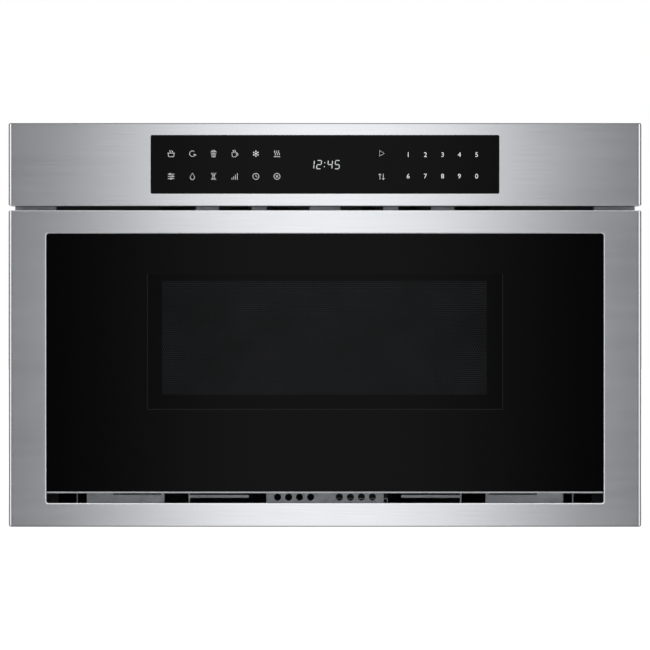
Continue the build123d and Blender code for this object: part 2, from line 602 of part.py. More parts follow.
def channel(web, edge, half, y, sheet=SLIDE_SHEET, lip=0.0):
    """Right-hand channel; web and edge are depths from the slide's mounting face."""
    web_x, edge_x = SLIDE_FACE - web, SLIDE_FACE - edge
    points = [(edge_x, SLIDE_MID - half), (web_x, SLIDE_MID - half),
              (web_x, SLIDE_MID + half), (edge_x, SLIDE_MID + half)]
    if lip:
        points = [(edge_x, SLIDE_MID - half + lip + sheet)] + points
        points += [(edge_x, SLIDE_MID + half - lip - sheet)]
    if web > edge:
        points.reverse()
    return folded(points, sheet, sheet + FIT, along(y), y[1] - y[0])


def slide_outer():
    return channel(0, OUTER_EDGE, OUTER_HALF, (SLIDE_FRONT, SLIDE_FRONT + OUTER_LENGTH), lip=SLIDE_LIP)


def slide_middle():
    front = SLIDE_FRONT + MIDDLE_SETBACK
    return channel(MIDDLE_WEB, MIDDLE_EDGE, MIDDLE_HALF, (front, front + MIDDLE_LENGTH))


def slide_inner():
    front = SLIDE_FRONT + INNER_SETBACK
    rear = BAR_REAR - 2 * ARM_BEND + ARM_SHEET
    return channel(SLIDE_DEPTH, INNER_EDGE, INNER_HALF, (front, rear))


def ball():
    """A slide's ball, cut with flat faces that touch its sphere, which keeps it light."""
    corner = BALL_RADIUS * (2 - math.sqrt(2))
    return chamfer(Box(*[2 * BALL_RADIUS] * 3).edges(), corner)


def ball_cage(web, ball_depth, ball_z, front):
    """Thin folded strip that carries two rows of balls between two members."""
    y = (front, front + CAGE_LENGTH)
    cage = channel(web, CAGE_EDGE, ball_z + CAGE_SHEET / 2, y, sheet=CAGE_SHEET)
    pitch = (CAGE_LENGTH - 2 * CAGE_END) / (CAGE_BALLS - 1)
    for row in (-1, 1):
        for place in range(CAGE_BALLS):
            centre = (SLIDE_FACE - ball_depth, front + CAGE_END + place * pitch, SLIDE_MID + row * ball_z)
            cage += Pos(*centre) * ball()
    return cage


BRACKET_FOOT = 22.0
BRACKET_RISE = 5.0                  # above the slide
BRACKET_TOP = 12.0
BRACKET_BEND = 2.5
BRACKET_ENDS = (4.0, 6.0)           # beyond the outer member, front and rear
BRACKET_HOLE = (60.0, 6.0)
BRACKET_HOLE_RADIUS = 2.8
BRACKET_HOLE_DROP = 11.0            # below the slide
BRACKET_HOLES = 4


def slide_bracket():
    """Right-hand bracket: a folded sheet on the base that the outer member is fixed to."""
    top = SLIDE_Z[1] + BRACKET_RISE
    points = [(SLIDE_FACE + BRACKET_TOP, top), (SLIDE_FACE, top), (SLIDE_FACE, BASE_SHEET),
              (SLIDE_FACE + BRACKET_FOOT, BASE_SHEET)]
    y = (SLIDE_FRONT - BRACKET_ENDS[0], SLIDE_FRONT + OUTER_LENGTH + BRACKET_ENDS[1])
    bracket = folded(points, BRACKET_SHEET, BRACKET_BEND, along(y), y[1] - y[0])
    pitch = OUTER_LENGTH / BRACKET_HOLES
    for place in range(BRACKET_HOLES):
        middle = Pos(SLIDE_FRONT + (place + 0.5) * pitch, SLIDE_Z[0] - BRACKET_HOLE_DROP)
        shape = across(SLIDE_FACE - THROUGH) * middle * outline(*BRACKET_HOLE, BRACKET_HOLE_RADIUS, flat=True)
        bracket -= extrude(shape, BRACKET_SHEET + 2 * THROUGH)
    return bracket


# ---- drive ----
PINION_X = RACK_PITCH_X + PITCH_RADIUS
PINION_AXIS = (PINION_X, PINION_Y)
PINION_MARGIN = 0.5                 # pinion taller than the rack, at each end
FLANK_STEPS = 3
HUB_RADIUS = 9.0
HUB_ENDS = (4.0, 3.0)               # hub beyond the rack, below and above
WEB_HOLES = 4
WEB_HOLE_RADIUS = 2.0
WEB_HOLE_CIRCLE = 12.3
SHAFT_TOP = 5.0                     # shaft's end above the rack
SHAFT_SUNK = 14.0                   # shaft inside the gearbox
GEARBOX_GAP = 5.0                   # gearbox to the rack
GEARBOX_Z = (10.0, RACK_Z[0] - GEARBOX_GAP)
GEARBOX_SIZE = (78.0, 48.0)         # along X and Y
GEARBOX_END = 18.0                  # gearbox beyond the shaft, on the left
GEARBOX_SHIFT = 4.0                 # gearbox's middle behind the shaft
GEARBOX_RADIUS = 9.0
GEARBOX_EDGE = 2.0
BOSS_RADIUS = 11.0
BOSS_HEIGHT = 6.0
MOTOR_RADIUS = 15.0
MOTOR_RISE = 16.0                   # motor's axis above the gearbox's bottom
MOTOR_LENGTH = 46.0
MOTOR_CAP_RADIUS = 6.0
MOTOR_CAP = 4.0
HAT_X = (PINION_X - 14.0, PINION_X + 56.0)
HAT_FOOT = 14.0
HAT_BEND = 1.8
HAT_Y = (PINION_Y - 16.0, PINION_Y + 24.0)


def involute_flank(base_radius, outer_radius, steps):
    """Points on one involute flank, from the base circle out, as radius and angle."""
    end = math.sqrt((outer_radius / base_radius) ** 2 - 1)
    flank = []
    for step in range(steps + 1):
        roll = end * step / steps
        flank.append((base_radius * math.hypot(1, roll), roll - math.atan(roll)))
    return flank


def pinion_outline():
    """Outline of the pinion's teeth: each tooth has two mirrored involute flanks."""
    pressure = math.radians(PRESSURE_ANGLE)
    flank = involute_flank(PITCH_RADIUS * math.cos(pressure), PITCH_RADIUS + GEAR_MODULE, FLANK_STEPS)
    at_pitch = math.tan(pressure) - pressure
    half_tooth = math.pi / (2 * PINION_TEETH) - BACKLASH / 4 / PITCH_RADIUS
    start = -half_tooth - at_pitch
    side = [(PITCH_RADIUS - ROOT_DEPTH, start)] + [(radius, start + angle) for radius, angle in flank]
    far_side = [(radius, -angle) for radius, angle in reversed(side)]
    points = []
    for tooth in range(PINION_TEETH):
        middle = 2 * math.pi * tooth / PINION_TEETH
        for radius, angle in side + far_side:
            points.append((radius * math.cos(middle + angle), radius * math.sin(middle + angle)))
    return make_face(Polyline(*points, close=True))


def drive_pinion():
    """Spur pinion with involute teeth, moulded in one with its hub on the output shaft."""
    low, high = grown(RACK_Z, PINION_MARGIN)
    gear = extrude(Pos(*PINION_AXIS, low) * pinion_outline(), high - low)
    gear += rod(HUB_RADIUS, (*PINION_AXIS, RACK_Z[0] - HUB_ENDS[0]),
                (*PINION_AXIS, RACK_Z[1] + HUB_ENDS[1]), MANY_SIDES)
    for place in range(WEB_HOLES):
        turn = 2 * math.pi * (place + 0.5) / WEB_HOLES
        spot = (PINION_X + WEB_HOLE_CIRCLE * math.cos(turn), PINION_Y + WEB_HOLE_CIRCLE * math.sin(turn))
        gear -= hole(WEB_HOLE_RADIUS, (*spot, low - THROUGH), (*spot, high + THROUGH))
    return gear + rod(SHAFT_RADIUS, (*PINION_AXIS, GEARBOX_Z[1] - SHAFT_SUNK),
                      (*PINION_AXIS, RACK_Z[1] + SHAFT_TOP), SOME_SIDES)


def drive_gearmotor():
    """Closed gearbox with a boss round the output shaft, and the motor can on its side."""
    low, high = GEARBOX_Z
    left = PINION_X - GEARBOX_END
    middle_y = PINION_Y + GEARBOX_SHIFT
    shape = outline(*GEARBOX_SIZE, GEARBOX_RADIUS, flat=True)
    box = extrude(Pos(left + GEARBOX_SIZE[0] / 2, middle_y, low) * shape, high - low - BOSS_HEIGHT)
    box = chamfer(box.edges().group_by(Axis.Z)[-1], GEARBOX_EDGE)
    box += rod(BOSS_RADIUS, (*PINION_AXIS, low + THROUGH), (*PINION_AXIS, high), MANY_SIDES)
    motor_x = left + GEARBOX_SIZE[0]
    axis = (middle_y, low + MOTOR_RISE)
    box += rod(MOTOR_RADIUS, (motor_x - THROUGH, *axis), (motor_x + MOTOR_LENGTH, *axis), MANY_SIDES)
    box += rod(MOTOR_CAP_RADIUS, (motor_x, *axis), (motor_x + MOTOR_LENGTH + MOTOR_CAP, *axis), SOME_SIDES)
    return box - hole(SHAFT_RADIUS + SHAFT_PLAY, (*PINION_AXIS, high - SHAFT_SUNK - THROUGH),
                      (*PINION_AXIS, high + THROUGH), SOME_SIDES)


def motor_bracket():
    """Top-hat bracket that lifts the gearmotor off the base."""
    foot = BASE_SHEET + BRACKET_SHEET
    start, end = HAT_X
    points = [(end + HAT_FOOT, foot), (end, foot), (end, GEARBOX_Z[0]), (start, GEARBOX_Z[0]),
              (start, foot), (start - HAT_FOOT, foot)]
    return folded(points, BRACKET_SHEET, HAT_BEND, along(HAT_Y), HAT_Y[1] - HAT_Y[0])


# ---- chassis ----
SCREW_RADIUS = 1.8
SCREW_PLAY = 0.2
SCREW_HEAD = 2.4
SCREW_HEX_RADIUS = 4.0
SCREW_LENGTH = 7.0
SCREW_EDGE_GAP = 60.0               # wing screws to the case's top and bottom
REAR_FLANGE = 14.0
CORNER_ROOM = 3.0                   # base's upturns stop short of the walls' folds
BASE_BEND = 2.0
VENT_SLOT = (4.0, 32.0)
VENT_PITCH = (26.0, 42.0)
VENT_COLUMNS = 6
VENT_ROWS = 3
VENT_REAR_GAP = 60.0


def screw_places():
    """Right-hand case screws: depth Y and height Z of each."""
    wing, rear = FLANGE_WING / 2, REAR_INNER - REAR_FLANGE / 2
    return [(wing, SCREW_EDGE_GAP), (wing, CASE_HEIGHT - SCREW_EDGE_GAP),
            (CASE_REAR / 2, BASE_UPTURN / 2 + BASE_SHEET), (rear, CASE_HEIGHT / 2)]


def screw_holes(inner, outer):
    """Cuts for the case screws through both sides, between two half-widths."""
    cuts = []
    for place in screw_places():
        for side in (-1, 1):
            cuts.append(hole(SCREW_RADIUS + SCREW_PLAY, (side * inner, *place), (side * outer, *place)))
    return cuts


def chassis_screws():
    """Hexagon-head sheet-metal screws through the case's sides."""
    screws = []
    for y, z in screw_places():
        seat = CASE_HALF + (FLANGE_SHEET if y < FLANGE_WING else 0)
        head = extrude(across(seat) * Pos(y, z) * RegularPolygon(SCREW_HEX_RADIUS, 6), SCREW_HEAD)
        screw = head + rod(SCREW_RADIUS, (seat - SCREW_LENGTH, y, z), (seat, y, z), 6)
        screws += [screw, mirror(screw, Plane.YZ)]
    return screws


def base_plate():
    """Folded base: its sides are turned up inside the case, with vents near the rear."""
    y = (PLATE_FRONT, REAR_INNER)
    points = [(-BASE_HALF, BASE_UPTURN), (-BASE_HALF, 0), (BASE_HALF, 0), (BASE_HALF, BASE_UPTURN)]
    base = folded(points, BASE_SHEET, BASE_BEND, along(y), y[1] - y[0])
    corner_z = (BASE_SHEET, BASE_UPTURN + THROUGH)
    for side in (-1, 1):
        x = mirrored(BASE_HALF - CORNER_ROOM, BASE_HALF + THROUGH, side)
        base -= block(x, (REAR_INNER - REAR_FLANGE - THROUGH, REAR_INNER + THROUGH), corner_z)
        base -= block(x, (PLATE_FRONT - THROUGH, 0), corner_z)
    vents = []
    for row in range(VENT_ROWS):
        for column in range(VENT_COLUMNS):
            x = centred((column - (VENT_COLUMNS - 1) / 2) * VENT_PITCH[0], VENT_SLOT[0])
            slot_y = centred(CASE_REAR - VENT_REAR_GAP - row * VENT_PITCH[1], VENT_SLOT[1])
            vents.append(block(x, slot_y, grown((0, BASE_SHEET), THROUGH)))
    return base - vents - screw_holes(BASE_HALF - 2 * CORNER_ROOM, BASE_HALF + THROUGH)


GRILLE_HALF = FLANGE_INNER - 37.0
GRILLE_FOOT = 10.0
GRILLE_HOLE_RADIUS = 4.15
GRILLE_HOLE_FIRST = 17.4
GRILLE_HOLE_PITCH = 13.3
GRILLE_HOLES = 4                    # on either side of the middle
GRILLE_HOLE_Z = 12.0
GRILLE_WINDOW = (71.0, 194.0)
GRILLE_WINDOW_Z = (4.0, 20.5)
GRILLE_BAR = (92.0, 163.0)
GRILLE_BAR_Z = (11.1, 14.7)
GRILLE_POST = 2.0
GRILLE_SLOT = (GRILLE_WINDOW[1] + 4.0, GRILLE_HALF - 32.0)
GRILLE_SLOT_Z = (15.1, 16.6)


def vent_grille():
    """Pressed strip on the base's front edge, with the air intake's holes and slots."""
    y = (PLATE_FRONT, 0)
    cut_y = grown(y, THROUGH)
    spans = [(GRILLE_WINDOW[0], GRILLE_BAR[0], *GRILLE_WINDOW_Z),
             (*GRILLE_BAR, GRILLE_WINDOW_Z[0], GRILLE_BAR_Z[0]),
             (*GRILLE_BAR, GRILLE_BAR_Z[1], GRILLE_WINDOW_Z[1]),
             (GRILLE_BAR[1] + GRILLE_POST, GRILLE_WINDOW[1], *GRILLE_WINDOW_Z),
             (*GRILLE_SLOT, *GRILLE_SLOT_Z)]
    cuts = []
    for side in (-1, 1):
        for place in range(GRILLE_HOLES):
            x = side * (GRILLE_HOLE_FIRST + place * GRILLE_HOLE_PITCH)
            ends = [(x, limit, GRILLE_HOLE_Z) for limit in cut_y]
            cuts.append(hole(GRILLE_HOLE_RADIUS, *ends, MANY_SIDES))
        for near, far, low, high in spans:
            cuts.append(block(mirrored(near, far, side), cut_y, (low, high)))
    strip = upright(GRILLE_HALF, (BASE_SHEET, GRILLE_HEIGHT), y) - cuts
    return strip + block(both(GRILLE_HALF), (0, GRILLE_FOOT), (BASE_SHEET, BASE_SHEET + PLATE_SHEET))


TOP_WINDOWS = [(20.0, 63.0), (93.0, 112.0), (156.0, 199.0)]
TOP_WINDOW_REACH = 12.0             # above and below the drawer front's top edge


def front_plate():
    """Front wall of the chassis: the choke seals on it, and drawer parts pass through it."""
    y = (PLATE_FRONT, 0)
    cut_y = grown(y, THROUGH)
    cuts = [upright(CAVITY_HALF, CAVITY_Z, cut_y)]
    rack_x = (RACK_PITCH_X - ROOT_DEPTH - RACK_BACK, RACK_PITCH_X + GEAR_MODULE)
    cuts.append(block(grown(rack_x, PASS), cut_y, grown(RACK_Z, PASS)))
    for side in (-1, 1):
        slide_x = mirrored(ARM_X[0] - PASS, SLIDE_FACE + PASS, side)
        cuts.append(block(slide_x, cut_y, grown(SLIDE_Z, PASS)))
        hook_x = centred(side * HOOK_X, HOOK_THICK + 2 * PASS)
        cuts.append(block(hook_x, cut_y, centred(CAVITY_MID, HOOK_HEIGHT + 4 * PASS)))
        for near, far in TOP_WINDOWS:
            cuts.append(block(mirrored(near, far, side), cut_y, grown((FRONT_Z[1],) * 2, TOP_WINDOW_REACH)))
    return upright(PLATE_HALF, (GRILLE_HEIGHT, PLATE_TOP), y) - cuts


FLANGE_CORNER = 2.0
WING_CORNER = 4.0


def mounting_flange():
    """Right-hand angle: its broad face seats on the cabinet, its wing on the case's side."""
    z = (FLANGE_FOOT, PLATE_TOP)
    face = block((FLANGE_INNER, FLANGE_OUTER), (-FLANGE_SHEET, 0), z)
    face = chamfer(face.edges().filter_by(Axis.Y).group_by(Axis.X)[-1], FLANGE_CORNER)
    wing = block((CASE_HALF, CASE_HALF + FLANGE_SHEET), (-FLANGE_SHEET / 2, FLANGE_WING), z)
    wing = chamfer(wing.edges().filter_by(Axis.X).group_by(Axis.Y)[-1], WING_CORNER)
    flange = face + wing
    for height in MOUNT_Z:
        ends = [(MOUNT_X, limit, height) for limit in grown((-FLANGE_SHEET, 0), THROUGH)]
        flange -= rod(MOUNT_HOLE_RADIUS, *ends)
    for hole in screw_holes(CASE_HALF - THROUGH, CASE_HALF + FLANGE_SHEET + THROUGH):
        flange -= hole
    return flange


SIDE_VENT = (70.0, 4.0)
SIDE_VENTS = 7
SIDE_VENT_PITCH = 14.0
SIDE_VENT_TOP = 70.0                # first vent below the case's top
SIDE_VENT_REAR = 110.0              # vents' middle ahead of the case's rear


def outer_case():
    """Wrap of galvanised sheet: top and both sides in one, with vent slots in the sides."""
    y = (0, CASE_REAR)
    points = [(CASE_HALF, 0), (CASE_HALF, CASE_HEIGHT), (-CASE_HALF, CASE_HEIGHT), (-CASE_HALF, 0)]
    case = rounded_fold(points, CASE_SHEET, CASE_BEND, along(y), y[1] - y[0])
    cuts = screw_holes(CASE_HALF - CASE_SHEET - THROUGH, CASE_HALF + THROUGH)
    vent_y = centred(CASE_REAR - SIDE_VENT_REAR, SIDE_VENT[0])
    for row in range(SIDE_VENTS):
        z = centred(CASE_HEIGHT - SIDE_VENT_TOP - row * SIDE_VENT_PITCH, SIDE_VENT[1])
        for side in (-1, 1):
            x = mirrored(CASE_HALF - CASE_SHEET - THROUGH, CASE_HALF + THROUGH, side)
            cuts.append(block(x, vent_y, z))
    return case - cuts


LOUVRE_LENGTH = 90.0
LOUVRE_RISE = 9.0
LOUVRE_LIP = 2.0
LOUVRE_PITCH = (130.0, 20.0)
LOUVRE_COLUMNS = 3
LOUVRE_ROWS = 5
LOUVRE_TOP = 60.0                   # first louvre below the case's top
APRON = 19.0                        # height of the rear plate's flat lower edge
BUSHING_X = CASE_HALF - 105.5
BUSHING_Z = 46.0
BUSHING_RADIUS = 8.0
BUSHING_BORE = 4.2
BUSHING_FIT = 0.1
BUSHING_COLLAR = 3.5                # outer collar beyond the body
BUSHING_PROUD = 3.0                 # collar's height on the rear plate
BUSHING_INSIDE = 14.0


def louvre(x, z):
    """One pressed louvre and the slot under it: returns what is added and what is cut."""
    outside = CASE_REAR + LOUVRE_HEIGHT
    root = CASE_REAR - CASE_SHEET / 2
    inside = REAR_INNER - THROUGH
    hood = Polyline((root, z), (outside, z), (outside, z + LOUVRE_LIP), (root, z + LOUVRE_RISE), close=True)
    hollow = Polyline((inside, z - THROUGH), (outside - CASE_SHEET, z - THROUGH),
                      (outside - CASE_SHEET, z + LOUVRE_LIP - CASE_SHEET / 2),
                      (inside, z + LOUVRE_RISE - CASE_SHEET), close=True)
    left = x - LOUVRE_LENGTH / 2
    return (extrude(across(left) * make_face(hood), LOUVRE_LENGTH),
            extrude(across(left + CASE_SHEET) * make_face(hollow), LOUVRE_LENGTH - 2 * CASE_SHEET))


def rear_plate():
    """Rear wall with its sides and top turned forward, louvres, and the cord's hole."""
    half = BASE_HALF
    low = BASE_UPTURN + CASE_SHEET
    front = REAR_INNER - REAR_FLANGE
    plate = upright(half, (low, PLATE_TOP), (front, CASE_REAR), CASE_BEND - CASE_SHEET, flat=True)
    hollow_z = (low - THROUGH, PLATE_TOP - CASE_SHEET)
    plate -= upright(half - CASE_SHEET, hollow_z, (front - THROUGH, REAR_INNER))
    plate += upright(half, (0, APRON), (REAR_INNER, CASE_REAR))
    for column in range(LOUVRE_COLUMNS):
        for row in range(LOUVRE_ROWS):
            x = (column - (LOUVRE_COLUMNS - 1) / 2) * LOUVRE_PITCH[0]
            hood, slot = louvre(x, CASE_HEIGHT - LOUVRE_TOP - row * LOUVRE_PITCH[1])
            plate = plate + hood - slot
    ends = [(BUSHING_X, limit, BUSHING_Z) for limit in grown((REAR_INNER, CASE_REAR), THROUGH)]
    plate -= hole(BUSHING_RADIUS + BUSHING_FIT, *ends, MANY_SIDES)
    return plate - screw_holes(half - 2 * CORNER_ROOM, half + THROUGH)


def cord_bushing():
    """Moulded strain relief in the rear plate, with the bore that the mains lead enters."""
    inside, outside = REAR_INNER - BUSHING_INSIDE, CASE_REAR + BUSHING_PROUD

    def stage(radius, start, end, sides=0):
        return rod(radius, (BUSHING_X, start, BUSHING_Z), (BUSHING_X, end, BUSHING_Z), sides)

    bushing = stage(BUSHING_RADIUS, inside, outside, MANY_SIDES)
    bushing += stage(BUSHING_RADIUS + BUSHING_COLLAR, CASE_REAR, outside)
    return bushing - stage(BUSHING_BORE, inside - THROUGH, outside + THROUGH)


# ---- cavity, waveguide and what feeds it ----
CAVITY_RADIUS = 5.0
DOME_SIDES = 32
DOME_Y = CAVITY_DEPTH / 2
DOME_AXIS = (0, DOME_Y)
DOME_TOP = ROOF + DOME_HEIGHT
COUPLING_RADIUS = 35.0
SLOT_PITCH = 6.0                    # light and vapour slots in the cavity's walls
SLOT_HEIGHT = 2.4
SLOT_ROWS = 5
LAMP_Y = 250.0
LAMP_Z = CAVITY_Z[1] - 50.0
LAMP_SLOT = 26.0
SENSOR_Y = CAVITY_DEPTH - 45.0
SENSOR_SLOT = 40.0
STIRRER_COVER = 1.5
STIRRER_COVER_LAP = 8.0
STIRRER_COVER_RADIUS = 10.0


def oven_cavity():
    """Welded box, open at the front, with a pressed dome in its roof for the stirrer."""
    sheet = CAVITY_SHEET
    outer_y = (0, CAVITY_DEPTH + sheet)
    cavity = upright(CAVITY_HALF + sheet, grown(CAVITY_Z, sheet), outer_y, CAVITY_RADIUS + sheet)
    cavity += hole(DOME_RADIUS + sheet, (*DOME_AXIS, CAVITY_Z[1]), (*DOME_AXIS, DOME_TOP), DOME_SIDES)
    cavity -= upright(CAVITY_HALF, CAVITY_Z, (-THROUGH, CAVITY_DEPTH), CAVITY_RADIUS)
    cavity -= hole(DOME_RADIUS, (*DOME_AXIS, CAVITY_Z[1] - THROUGH),
                   (*DOME_AXIS, DOME_TOP - sheet), DOME_SIDES)
    cavity -= hole(COUPLING_RADIUS, (*DOME_AXIS, DOME_TOP - 2 * sheet),
                   (*DOME_AXIS, DOME_TOP + THROUGH), SOME_SIDES)
    cuts = []
    for row in range(SLOT_ROWS):
        z = centred(LAMP_Z + (row - (SLOT_ROWS - 1) / 2) * SLOT_PITCH, SLOT_HEIGHT)
        for side, middle, length in ((-1, LAMP_Y, LAMP_SLOT), (1, SENSOR_Y, SENSOR_SLOT)):
            x = mirrored(CAVITY_HALF - THROUGH, CAVITY_HALF + sheet + THROUGH, side)
            cuts.append(block(x, centred(middle, length), z))
    return cavity - cuts


def stirrer_cover():
    """Flat mica sheet on the cavity's roof, under the dome."""
    size = 2 * (DOME_RADIUS + STIRRER_COVER_LAP)
    shape = outline(size, size, STIRRER_COVER_RADIUS, flat=True)
    return extrude(Pos(*DOME_AXIS, CAVITY_Z[1] - STIRRER_COVER) * shape, STIRRER_COVER)


GUIDE_SHEET = 1.2
GUIDE_HALF = 45.0
GUIDE_HEIGHT = 34.0
GUIDE_FRONT = 45.0                  # guide's front end ahead of the dome's middle
GUIDE_REAR_GAP = 30.0               # its rear end ahead of the cavity's
GUIDE_Y = (DOME_Y - GUIDE_FRONT, CAVITY_DEPTH - GUIDE_REAR_GAP)
GUIDE_TOP = DOME_TOP + GUIDE_HEIGHT
GUIDE_LEG_HALF = 35.0
GUIDE_LEG_FOOT = 10.0
MAGNETRON_FROM_END = 48.0
MAGNETRON_Y = GUIDE_Y[1] - MAGNETRON_FROM_END
MAGNETRON_AXIS = (0, MAGNETRON_Y)
ANTENNA_RADIUS = 9.5
ANTENNA_LENGTH = 22.0
STIR_SHAFT_RADIUS = 3.0
STIR_PLAY = 0.08
PORT_CLEARANCE = 1.0
YOKE_HALF = (48.0, 40.0)            # along X and Y
YOKE_HEIGHT = 50.0
YOKE_SHEET = 1.6
ANODE_RADIUS = 20.0
FIN_SHEET = 0.8
FIN_PITCH = 10.0
FINS = 4
FIN_INSET = 6.0
FILTER_BOX_HALF = (30.0, 26.0)
FILTER_BOX_HEIGHT = 24.0
FILTER_BOX_CORNER = 3.0


def waveguide():
    """Rectangular duct of sheet on the dome, closed all round but for its ports."""
    sheet = GUIDE_SHEET
    guide = block(both(GUIDE_HALF), GUIDE_Y, (DOME_TOP, GUIDE_TOP))
    guide -= block(both(GUIDE_HALF - sheet), grown(GUIDE_Y, -sheet), grown((DOME_TOP, GUIDE_TOP), -sheet))
    guide -= hole(COUPLING_RADIUS, (*DOME_AXIS, DOME_TOP - THROUGH),
                  (*DOME_AXIS, DOME_TOP + 2 * sheet), SOME_SIDES)
    for axis, radius in ((DOME_AXIS, STIR_SHAFT_RADIUS), (MAGNETRON_AXIS, ANTENNA_RADIUS)):
        guide -= hole(radius + PORT_CLEARANCE, (*axis, GUIDE_TOP - 2 * sheet),
                      (*axis, GUIDE_TOP + THROUGH), SOME_SIDES)
    end = GUIDE_Y[1] - sheet
    leg = block(both(GUIDE_LEG_HALF), (end, GUIDE_Y[1]), (ROOF, DOME_TOP + sheet))
    foot = block(both(GUIDE_LEG_HALF), (end, GUIDE_Y[1] + GUIDE_LEG_FOOT), (ROOF, ROOF + sheet))
    return guide + leg + foot


def magnetron():
    """Yoke with cooling fins round the anode, filter box on top, antenna down below."""
    yoke_z = (GUIDE_TOP, GUIDE_TOP + YOKE_HEIGHT)
    y = centred(MAGNETRON_Y, 2 * YOKE_HALF[1])
    tube = block(both(YOKE_HALF[0]), y, yoke_z)
    tube -= block(both(YOKE_HALF[0] + THROUGH), grown(y, -YOKE_SHEET), grown(yoke_z, -YOKE_SHEET))
    tube += rod(ANODE_RADIUS, (*MAGNETRON_AXIS, yoke_z[0] + YOKE_SHEET),
                (*MAGNETRON_AXIS, yoke_z[1] - YOKE_SHEET), SOME_SIDES)
    middle = sum(yoke_z) / 2
    for fin in range(FINS):
        z = centred(middle + (fin - (FINS - 1) / 2) * FIN_PITCH, FIN_SHEET)
        tube += block(both(YOKE_HALF[0] - FIN_INSET), grown(y, -YOKE_SHEET / 2), z)
    tube += rod(ANTENNA_RADIUS, (*MAGNETRON_AXIS, GUIDE_TOP - ANTENNA_LENGTH),
                (*MAGNETRON_AXIS, GUIDE_TOP + YOKE_SHEET), SOME_SIDES)
    box_z = (yoke_z[1], yoke_z[1] + FILTER_BOX_HEIGHT)
    box = block(both(FILTER_BOX_HALF[0]), centred(MAGNETRON_Y, 2 * FILTER_BOX_HALF[1]), box_z)
    return tube + chamfer(box.edges().filter_by(Axis.Z), FILTER_BOX_CORNER)


STIR_MOTOR_RADIUS = 24.5
STIR_MOTOR_HEIGHT = 17.0
STIR_MOTOR_EARS = (74.0, 12.0)
STIR_MOTOR_EAR = 1.2
STIR_BORE = 11.0
STIR_SHAFT_END = 9.0                # shaft's end above the waveguide
STIRRER_RISE = 5.0                  # blades above the cavity's roof line
STIRRER_Z = CAVITY_Z[1] + STIRRER_RISE
STIRRER_BOSS_RADIUS = 15.0
STIRRER_BOSS = (1.5, 4.0)           # boss below and above the blades' plane
BLADE_REACH = DOME_RADIUS - 12.0
BLADE_ROOT = 10.0
BLADE_Y = (-24.0, 20.0)
BLADE_SHEET = 1.0
BLADE_CORNER = 6.0
BLADE_TILT = 11.0
BLADES = 4


def stirrer_motor():
    """Flat synchronous motor on the waveguide, with two fixing ears."""
    motor = rod(STIR_MOTOR_RADIUS, (*DOME_AXIS, GUIDE_TOP),
                (*DOME_AXIS, GUIDE_TOP + STIR_MOTOR_HEIGHT), MANY_SIDES)
    ears = outline(*STIR_MOTOR_EARS, STIR_MOTOR_EARS[1] / 2, flat=True)
    motor += extrude(Pos(*DOME_AXIS, GUIDE_TOP) * ears, STIR_MOTOR_EAR)
    return motor - hole(STIR_SHAFT_RADIUS + STIR_PLAY, (*DOME_AXIS, GUIDE_TOP - THROUGH),
                        (*DOME_AXIS, GUIDE_TOP + STIR_BORE), SOME_SIDES)


def stirrer():
    """Pressed stirrer: four bent blades on a boss, and a long moulded shaft."""
    fan = rod(STIRRER_BOSS_RADIUS, (*DOME_AXIS, STIRRER_Z - STIRRER_BOSS[0]),
              (*DOME_AXIS, STIRRER_Z + STIRRER_BOSS[1]), MANY_SIDES)
    for blade in range(BLADES):
        vane = block((BLADE_ROOT, BLADE_REACH), BLADE_Y, both(BLADE_SHEET / 2))
        vane = chamfer(vane.edges().filter_by(Axis.Z).group_by(Axis.X)[-1], BLADE_CORNER)
        place = Pos(*DOME_AXIS, STIRRER_Z + BLADE_SHEET) * Rot(0, 0, 360 * blade / BLADES)
        fan += place * Rot(BLADE_TILT, 0, 0) * vane
    return fan + rod(STIR_SHAFT_RADIUS, (*DOME_AXIS, STIRRER_Z),
                     (*DOME_AXIS, GUIDE_TOP + STIR_SHAFT_END), SOME_SIDES)


# ---- cooling fan and duct ----
FAN_SIZE = 116.0
FAN_X = (110.0, 146.0)
FAN_TOP_GAP = 8.0                   # fan below the case's top
FAN_WALL = 3.0
FAN_CORNER = 4.0
FAN_FOOT = FAN_SIZE - 30.0
FAN_Z = CASE_HEIGHT - FAN_TOP_GAP - FAN_SIZE / 2
FAN_AXIS = (MAGNETRON_Y, FAN_Z)
FAN_BORE = FAN_SIZE / 2 - FAN_WALL
FAN_MOTOR_RADIUS = 18.0
FAN_MOTOR_DEPTH = 12.0
FAN_STRUT = (3.0, 4.0)
FAN_SHAFT_RADIUS = 2.5
FAN_SHAFT_SUNK = 8.0
ROTOR_HUB_RADIUS = 19.0
ROTOR_SETBACK = 4.0                 # rotor behind the frame's open face
ROTOR_MOTOR_GAP = 1.0
ROTOR_TIP_GAP = 1.5
ROTOR_BLADES = 7
ROTOR_BLADE = (1.6, 29.0)           # thickness and chord
ROTOR_PITCH = 42.0
DUCT_WALL = 1.5
DUCT_GAP = 1.0                      # duct's mouth to the magnetron's yoke
DUCT_MOUTH = (80.0, 48.0)
DUCT_INSET = 4.0                    # duct smaller than the fan


